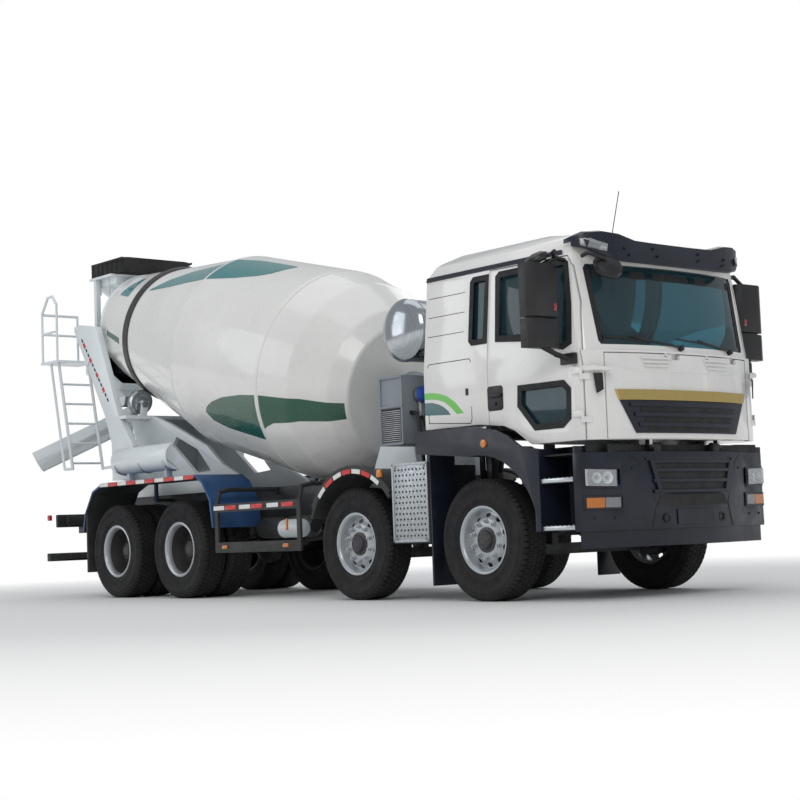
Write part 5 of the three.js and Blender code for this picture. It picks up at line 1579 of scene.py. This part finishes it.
def tank_and_cooler():
    """Domed ends and straps of the water tank; core, cap and hoses of the oil cooler."""
    dome = [(TANK_RADIUS + 0.004, -0.05), (TANK_RADIUS + 0.004, 0.004), (0.294, 0.016), (0.27, 0.042),
            (0.22, 0.07),
            (0.15, 0.092), (0.07, 0.103), (0, 0.105)]
    for side, sign in SIDES:
        end = spun("dome", dome, TANK + Vector((0, sign * TANK_HALF, 0)), (0, sign, 0), 72, angle=60)
        fitted(f"tank_dome_{side}", [end], "chassis", "bright_steel", "mirror_steel")
    band = [(TANK_RADIUS, -0.03), (TANK_RADIUS + 0.006, -0.03), (TANK_RADIUS + 0.006, 0.03),
            (TANK_RADIUS, 0.03)]
    straps = [spun("strap", band, TANK + Vector((0, y, 0)), (0, 1, 0), 72, closed=True)
              for y in (-0.55, 0.55)]
    fitted("tank_straps", straps, "chassis", "bright_steel", "galvanised")

    low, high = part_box("hydraulic_cooler")
    foot = COOLER_FOOT
    fins = [block("fin", Vector((low.x + 0.03, low.y - 0.006, z)),
                  Vector((high.x - 0.03, low.y + 0.002, z + 0.008)),
                  0.001) for z in [foot + 0.04 + 0.019 * i for i in range(16)]]
    fitted("cooler_fins", fins, "chassis", "casting_grey", "bolt_steel")
    core = block("core", Vector((low.x + 0.025, low.y - 0.002, foot + 0.03)),
                 Vector((high.x - 0.025, low.y + 0.01, foot + 0.355)), 0.001)
    piece(core, "chassis", "casting_grey", "dark_mesh")
    edges = [block("edge", Vector((low.x - 0.004, low.y - 0.012, z)),
                   Vector((high.x + 0.004, low.y + 0.004, z + 0.022)),
                   0.003) for z in (foot, foot + 0.36, 2.112)]
    for x in (low.x - 0.004, high.x - 0.02):
        edges.append(block("edge", Vector((x, low.y - 0.010, foot)),
                           Vector((x + 0.024, low.y + 0.004, 2.13)), 0.003))
    fitted("cooler_edges", edges, "chassis", "casting_grey", "casting_grey")
    spot = Vector((high.x, low.y + 0.20, 1.95))
    neck = [barrel("neck", spot, spot + Vector((0.07, 0, 0)), 0.075, 32, 0.006),
            barrel("outlet", spot + Vector((0.03, 0, -0.06)), spot + Vector((0.03, 0, -0.22)), 0.03, 24,
                   0.004),
            barrel("gauge", spot + Vector((0, 0.16, 0.06)), spot + Vector((0.03, 0.16, 0.06)), 0.03, 24,
                   0.004)]
    fitted("filter_neck", neck, "chassis", "casting_grey", "bolt_steel")
    cap = spun("filter_cap",
               [(0, 0.06), (0.04, 0.056), (0.07, 0.04), (0.082, 0.012), (0.082, 0.0), (0, 0.0)],
               spot + Vector((0.07, 0, 0)), (1, 0, 0), 36)
    piece(cap, "chassis", "casting_grey", "cap_blue")
    hoses = []
    for i in range(3):
        y = low.y + 0.10 + 0.09 * i
        hoses.append(pipe("hose", [Vector((high.x - 0.01, y, 1.78 - 0.04 * i)),
                                   Vector((high.x + 0.10, y, 1.76 - 0.04 * i)),
                                   Vector((high.x + 0.13, y + 0.02, 1.46)),
                                   Vector((high.x + 0.06, y + 0.10, 1.16))],
                          0.020, bend=0.12))
    fitted("cooler_hoses", hoses, "chassis", "casting_grey", "black_plastic")


def side_markers():
    """Orange lamps at the guards and the end of the air tank behind the side guard."""
    for side, sign in SIDES:
        spots = [block("marker", at(-1.40, sign * 1.235, 1.16), at(-1.33, sign * 1.262, 1.235), 0.01),
                 block("marker", at(-2.99, sign * 1.16, 0.70), at(-2.96, sign * 1.18, 0.82), 0.008)]
        fitted(f"side_markers_{side}", spots, "chassis", "black_plastic", "lens_orange")
        end = spun("air_tank_end",
                   [(0, 0.05), (0.05, 0.045), (0.088, 0.02), (0.095, 0.0), (0.095, -0.30), (0, -0.30)],
                   at(-2.97, sign * 0.98, 0.72), (1, 0, 0), 32)
        fitted(f"air_tank_end_{side}", [end], "chassis", "chassis_black", "mixer_white")
        low = block("lamp", at(-8.01, sign * 1.16, 0.945), at(-7.955, sign * 1.204, 1.015), 0.01)
        fitted(f"tail_marker_{side}", [low], "chassis", "chassis_black", "lens_red")


def under_cab_panels():
    """Dark panels that close the step wells under the cab."""
    for side, sign in SIDES:
        panel = [block("well", at(0.42, sign * 0.84, 1.18), at(1.20, sign * 0.862, 1.315), 0.002),
                 block("well_end", at(1.19, sign * 0.86, 1.18), at(1.21, sign * 1.12, 1.315), 0.002),
                 block("well_floor", at(0.60, sign * 0.86, 1.225), at(1.20, sign * 1.18, 1.24), 0.002)]
        fitted(f"step_well_{side}", panel, "chassis", "navy_plastic", "dark_mesh")


class MIXER_OT_side(bpy.types.Operator):
    """Model the steps, tapes, plate, tank straps and cooler along the truck's sides"""

    bl_idname = "mixer.side"
    bl_label = "Sides"

    def execute(self, context):
        for side, sign in SIDES:
            steps(side, sign)
            guard_tapes(side, sign)
            middle = AXLE[1] - AXLE[0]
            arc_tapes(f"arch_{side}", f"mudguard_2_{side}", middle, 0.70, math.radians(138),
                      math.radians(52), 7,
                      sign, "chassis", "black_plastic")
            xs = [-6.62 + 0.205 * i for i in range(11)]
            flat_tapes(f"rear_guard_{side}", f"rear_mudguard_{side}", xs, 1.325, sign, "chassis",
                       "blue_plastic")
        perforated_plate()
        tank_and_cooler()
        side_markers()
        under_cab_panels()
        return {"FINISHED"}


# ------------------------------------------------------------------ rear
def strip_tapes(name, start, end, face, width, count, body, slot):
    """Alternate red and white lengths of tape along a straight edge, raised out along `face`."""
    start, end, face = Vector(start), Vector(end), Vector(face).normalized()
    across = (end - start).cross(face).normalized() * width / 2
    lengths = {"tape_white": [], "tape_red": []}
    for i in range(count):
        first, last = start.lerp(end, (i + 0.04) / count), start.lerp(end, (i + 0.96) / count)
        ends = [first - across, first + across, last + across, last - across]
        lengths["tape_red" if i % 2 else "tape_white"].append(
            plate("tape", [p - face * 0.002 for p in ends], face * 0.0035, 0))
    tapes(name, lengths, body, slot)


def hopper_pieces():
    """Ribs, rim and clamps of the feed hopper."""
    low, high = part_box("hopper_collar")
    ribs = []
    for i in range(7):
        x = low.x + (high.x - low.x) * (i + 0.5) / 7
        for y in (low.y, high.y):
            ribs.append(block("rib", Vector((x - 0.006, y - 0.003, low.z + 0.02)),
                              Vector((x + 0.006, y + 0.003, high.z - 0.02)),
                              0.002))
    rim = [block("rim", Vector((low.x - 0.002, y - 0.006, high.z - 0.03)),
                 Vector((high.x + 0.002, y + 0.006, high.z - 0.002)),
                 0.004) for y in (low.y + 0.006, high.y - 0.006)]
    fitted("collar_ribs", ribs + rim, "chassis", "collar_rubber", "collar_rubber")
    low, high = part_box("feed_hopper")
    braces = []
    for sign in (-1, 1):
        for x in (low.x + 0.12, (low.x + high.x) / 2):
            hit = touch(["feed_hopper"], Vector((x, sign * 2, high.z - 0.12)), (0, -sign, 0))
            if hit is not None:
                braces.append(lump("brace", hit, (-0.008, -sign * 0.004, -0.10), (0.008, sign * 0.022, 0.10),
                                   0.003))
    if braces:
        fitted("hopper_braces", braces, "chassis", "mixer_white", "mixer_white")


def stand_pieces():
    """Tapes down the legs of the stand and the caps of the roller bearings."""
    for side, sign in SIDES:
        lengths = {"tape_red": [], "dark_mesh": []}
        way = Vector((0.60, 0, -0.80)).normalized()
        across = Vector((way.z, 0, -way.x))
        for i in range(13):
            t = i / 12
            hit = touch(["rear_stand"], at(-7.73 + 0.60 * t, sign * 2, 3.20 - 0.80 * t), (0, -sign, 0))
            if hit is None or abs(hit.y) < 0.3:
                continue
            half, width, paint = (0.036, 0.022, "tape_red") if i % 3 == 1 else (0.026, 0.012, "dark_mesh")
            ends = [hit + way * a + across * b + Vector((0, sign * 0.001, 0))
                    for a, b in ((-half, -width), (half, -width), (half, width), (-half, width))]
            lengths[paint].append(plate("tape", ends, (0, sign * 0.002, 0), 0))
        tapes(f"stand_{side}", lengths, "chassis", "mixer_white")
        hubs = []
        for reach in (-0.125, 0.125):
            face = middle_of(f"drum_roller_{side}") + DRUM_AXIS * reach
            hubs.append(barrel("bearing", face - DRUM_AXIS * 0.012, face + DRUM_AXIS * 0.012, 0.05, 6,
                               0.004))
        fitted(f"roller_bearings_{side}", hubs, "chassis", "mixer_white", "bolt_steel")


def ladder_pieces():
    """Round holes in the ladder's platform."""
    holes = []
    level = touch(["rear_ladder"], at(-7.9, -0.95, 3.4), (0, 0, -1))
    if level is not None and level.z < 3.1:
        for i in range(6):
            for j in range(7):
                spot = Vector((at(-8.05 + 0.058 * i, 0, 0).x, -1.15 + 0.068 * j, level.z))
                if touch(["rear_ladder"], spot + Vector((0, 0, 0.5)), (0, 0, -1)) is None:
                    continue
                holes.append(barrel("hole", spot + Vector((0, 0, -0.001)), spot + Vector((0, 0, 0.0012)),
                                    0.017, 8))
    if holes:
        fitted("platform_holes", holes, "chassis", "mixer_white", "dark_mesh")


def chute_pieces():
    """Stiffening bands of the stowed chute."""
    low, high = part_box("spare_chute_right")
    middle, rings = (low + high) / 2, []
    for t in (0.06, 0.5, 0.94):
        centre = Vector((low.x + (high.x - low.x) * t, middle.y, middle.z))
        points = []
        for i in range(9):
            a = math.pi * (i / 8)
            start = centre + Vector((0, math.cos(a) * 2, -math.sin(a) * 2))
            hit = touch(["spare_chute_right"], start, centre - start)
            if hit is not None:
                points.append(hit + (start - hit).normalized() * 0.002)
        if len(points) > 3:
            rings.append(pipe("band", points, 0.011, 3))
    if rings:
        fitted("spare_chute_bands", rings, "chassis", "bright_steel", "chute_steel")


def tail_pieces():
    """Rear lamps, their boxes and brackets, the number-plate holder and the tape on the bar."""
    low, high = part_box("rear_underrun")
    lamps = {"lens_red": [], "lens_orange": [], "lens_clear": [], "black_plastic": []}
    x = at(-7.96, 0, 0).x
    for side, sign in SIDES:
        box_low = Vector((x - 0.10, sign * 0.62, 0.86))
        box_high = Vector((x - 0.04, sign * 1.06, 1.02))
        lamps["black_plastic"].append(block("lamp_box", box_low, box_high, 0.012))
        for near, far, paint in ((0.64, 0.78, "lens_red"), (0.79, 0.91, "lens_clear"),
                                 (0.92, 1.04, "lens_orange")):
            lamps[paint].append(block("lamp", Vector((x - 0.108, sign * near, 0.88)),
                                      Vector((x - 0.098, sign * far, 1.0)),
                                      0.005))
        lamps["black_plastic"].append(block("bracket", Vector((x - 0.06, sign * 0.70, 0.78)),
                                            Vector((x + 0.16, sign * 0.76, 0.90)), 0.005))
    plate_low, plate_high = Vector((x - 0.07, -0.26, 0.84)), Vector((x - 0.055, 0.26, 1.0))
    lamps["black_plastic"].append(block("plate_holder", plate_low, plate_high, 0.006))
    lamps["black_plastic"].append(block("plate_arm", Vector((x - 0.06, -0.03, 0.78)),
                                        Vector((x + 0.16, 0.03, 0.86)), 0.005))
    tapes("tail", lamps, "chassis", "chassis_black")
    strip_tapes("underrun", Vector((low.x - 0.0005, low.y + 0.06, low.z + 0.05)),
                Vector((low.x - 0.0005, high.y - 0.06, low.z + 0.05)), (-1, 0, 0), 0.05, 12, "chassis",
                "chassis_black")


LEAF_HALF, LEAF_FOOT, LEAF_PITCH = 0.62, 0.72, 0.017


def under_pieces():
    """Drive shafts, leaf springs and air tanks seen between the wheels."""
    shafts = [barrel("shaft", at(-1.9, 0, 0.74), at(-4.35, 0, 0.62), 0.055, 24, 0.004),
              barrel("shaft", at(-5.15, 0, 0.60), at(-5.45, 0, 0.60), 0.05, 24, 0.004)]
    for x, z in ((-1.95, 0.735), (-4.3, 0.625)):
        shafts.append(spun("joint", [(0.0, -0.04), (0.09, -0.04), (0.09, 0.04), (0.0, 0.04)],
                           at(x, 0, z), (1, 0, -0.05), 24))
    fitted("drive_shafts", shafts, "chassis", "chassis_black", "hub_dark")
    leaves = []
    for _, sign in SIDES:
        for axle in (0.0, AXLE[1] - AXLE[0]):
            for i in range(4):
                half = LEAF_HALF - i * 0.12
                points = [at(axle + half * share, sign * 0.43,
                             LEAF_FOOT + 0.10 * (half * share / LEAF_HALF) ** 2 - i * LEAF_PITCH)
                          for share in (-1, -0.5, 0, 0.5, 1)]
                outer = [p + Vector((0, 0.07 * sign, 0)) for p in points]
                leaves.append(ribbon("leaf", points, outer, 0.013, False))
    fitted("leaf_springs", leaves, "chassis", "chassis_black", "hub_dark")
    half = [(0.115, 0.16), (0.11, 0.20), (0.07, 0.235), (0, 0.24)]
    tank = [(r, -a) for r, a in reversed(half)] + half
    tanks = [spun("air_tank", tank, at(x, -0.62, 0.74), (1, 0, 0), 32) for x in (-3.95, -3.45)]
    fitted("air_tanks", tanks, "chassis", "chassis_black", "chassis_black")


class MIXER_OT_rear(bpy.types.Operator):
    """Model the tapes, lamps, platform holes, chute bands and the pieces under the frame"""

    bl_idname = "mixer.rear"
    bl_label = "Rear and underside"

    def execute(self, context):
        hopper_pieces()
        stand_pieces()
        ladder_pieces()
        chute_pieces()
        tail_pieces()
        under_pieces()
        return {"FINISHED"}


# ------------------------------------------------------------------ stage
CAMERA_PLACE = (10.759, -11.154, 0.626)
CAMERA_YAW, CAMERA_PITCH, CAMERA_ROLL = (math.radians(v) for v in (49.93, 4.6, -2.15))
CAMERA_LENS = 74.55


class MIXER_OT_stage(bpy.types.Operator):
    """Add the floor, the studio light and the camera"""

    bl_idname = "mixer.stage"
    bl_label = "Stage"

    def execute(self, context):
        scene = context.scene
        scene.view_settings.view_transform = "Standard"
        world = bpy.data.worlds.new("studio")
        scene.world = world
        world.use_nodes = True
        nodes, links = world.node_tree.nodes, world.node_tree.links
        nodes.clear()
        rays = nodes.new("ShaderNodeLightPath")
        seen = nodes.new("ShaderNodeMath")
        seen.operation = "MAXIMUM"
        links.new(rays.outputs["Is Camera Ray"], seen.inputs[0])
        links.new(rays.outputs["Is Transmission Ray"], seen.inputs[1])
        light, white = nodes.new("ShaderNodeBackground"), nodes.new("ShaderNodeBackground")
        light.inputs["Color"].default_value = (0.93, 0.96, 1.0, 1)
        light.inputs["Strength"].default_value = 0.48
        white.inputs["Color"].default_value = (1, 1, 1, 1)
        white.inputs["Strength"].default_value = 1.0
        blend, output = nodes.new("ShaderNodeMixShader"), nodes.new("ShaderNodeOutputWorld")
        links.new(seen.outputs[0], blend.inputs[0])
        links.new(light.outputs[0], blend.inputs[1])
        links.new(white.outputs[0], blend.inputs[2])
        links.new(blend.outputs[0], output.inputs[0])

        deselect()
        bpy.ops.mesh.primitive_plane_add(size=400, location=(0, 0, 0))
        floor = named("studio_floor")
        material = bpy.data.materials.new("studio_floor")
        material.use_nodes = True
        tree = material.node_tree
        shader = tree.nodes["Principled BSDF"]
        shader.inputs["Base Color"].default_value = (0.86, 0.86, 0.85, 1)
        shader.inputs["Roughness"].default_value = 0.9
        glow = tree.nodes.new("ShaderNodeEmission")
        glow.inputs["Strength"].default_value = 1.0
        away = tree.nodes.new("ShaderNodeTexCoord")
        length = tree.nodes.new("ShaderNodeVectorMath")
        length.operation = "LENGTH"
        far = tree.nodes.new("ShaderNodeMapRange")
        far.inputs["From Min"].default_value = 6.5
        far.inputs["From Max"].default_value = 13.0
        mixed = tree.nodes.new("ShaderNodeMixShader")
        tree.links.new(away.outputs["Object"], length.inputs[0])
        tree.links.new(length.outputs["Value"], far.inputs["Value"])
        tree.links.new(far.outputs["Result"], mixed.inputs[0])
        tree.links.new(shader.outputs[0], mixed.inputs[1])
        tree.links.new(glow.outputs[0], mixed.inputs[2])
        tree.links.new(mixed.outputs[0], tree.nodes["Material Output"].inputs["Surface"])
        floor.data.materials.append(material)
        floor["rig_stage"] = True

        for name, place, size, power, warmth in (
                ("key", (15, -14, 13), 9.0, 900, (1.0, 0.985, 0.96)),
                ("fill", (-12, -15, 8), 10.0, 420, (0.95, 0.97, 1.0)),
                ("back", (-6, 16, 12), 10.0, 420, (1.0, 1.0, 1.0)),
                ("top", (0, 0, 14), 12.0, 380, (1.0, 1.0, 1.0))):
            lamp_data = bpy.data.lights.new(name, "AREA")
            lamp_data.size, lamp_data.energy, lamp_data.color = size, power, warmth
            lamp_object = bpy.data.objects.new(name, lamp_data)
            scene.collection.objects.link(lamp_object)
            lamp_object.location = place
            aim = Vector((0.5, 0, 1.6)) - Vector(place)
            lamp_object.rotation_euler = aim.to_track_quat("-Z", "Y").to_euler()
            lamp_object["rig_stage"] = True

        forward = Vector((-math.sin(CAMERA_YAW) * math.cos(CAMERA_PITCH),
                          math.cos(CAMERA_YAW) * math.cos(CAMERA_PITCH), math.sin(CAMERA_PITCH)))
        right = Vector((math.cos(CAMERA_YAW), math.sin(CAMERA_YAW), 0))
        up = right.cross(forward)
        c, s = math.cos(CAMERA_ROLL), math.sin(CAMERA_ROLL)
        right, up = right * c + up * s, up * c - right * s
        camera_data = bpy.data.cameras.new("camera")
        camera_data.lens, camera_data.sensor_width = CAMERA_LENS, 36
        camera_data.clip_end = 500
        camera = bpy.data.objects.new("camera", camera_data)
        scene.collection.objects.link(camera)
        turn = Matrix((right, up, -forward)).transposed().to_4x4()
        camera.matrix_world = Matrix.Translation(at(*CAMERA_PLACE)) @ turn
        scene.camera = camera
        return {"FINISHED"}


# ------------------------------------------------------------------ add-on
OPERATORS = (
    MIXER_OT_frame_pieces,
    MIXER_OT_wheels,
    MIXER_OT_drum,
    MIXER_OT_cab,
    MIXER_OT_front,
    MIXER_OT_side,
    MIXER_OT_rear,
    MIXER_OT_stage,
)


class MIXER_PT_panel(bpy.types.Panel):
    """Lists the steps that build the truck"""

    bl_idname = "MIXER_PT_panel"
    bl_label = "Mixer truck"
    bl_space_type = "VIEW_3D"
    bl_region_type = "UI"
    bl_category = "Mixer Truck"

    def draw(self, context):
        column = self.layout.column()
        for operator in OPERATORS:
            column.operator(operator.bl_idname)
        for name in MixerSettings.__annotations__:
            column.prop(context.scene.mixer_settings, name)


def register():
    for cls in (MixerSettings, *OPERATORS, MIXER_PT_panel):
        bpy.utils.register_class(cls)
    bpy.types.Scene.mixer_settings = PointerProperty(type=MixerSettings)


def unregister():
    del bpy.types.Scene.mixer_settings
    for cls in reversed((MixerSettings, *OPERATORS, MIXER_PT_panel)):
        bpy.utils.unregister_class(cls)


def corners(bounds):
    return [[float(value) for value in corner] for corner in bounds]


def main():
    register()
    mix_paints(bpy.context.scene.mixer_settings)
    for operator in OPERATORS:
        group, step = operator.bl_idname.split(".")
        getattr(getattr(bpy.ops, group), step)()
    deselect()
    sizes = {"cad": corners(CAD_BOX), "visual": corners(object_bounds())}


if __name__ == "__main__":
    main()
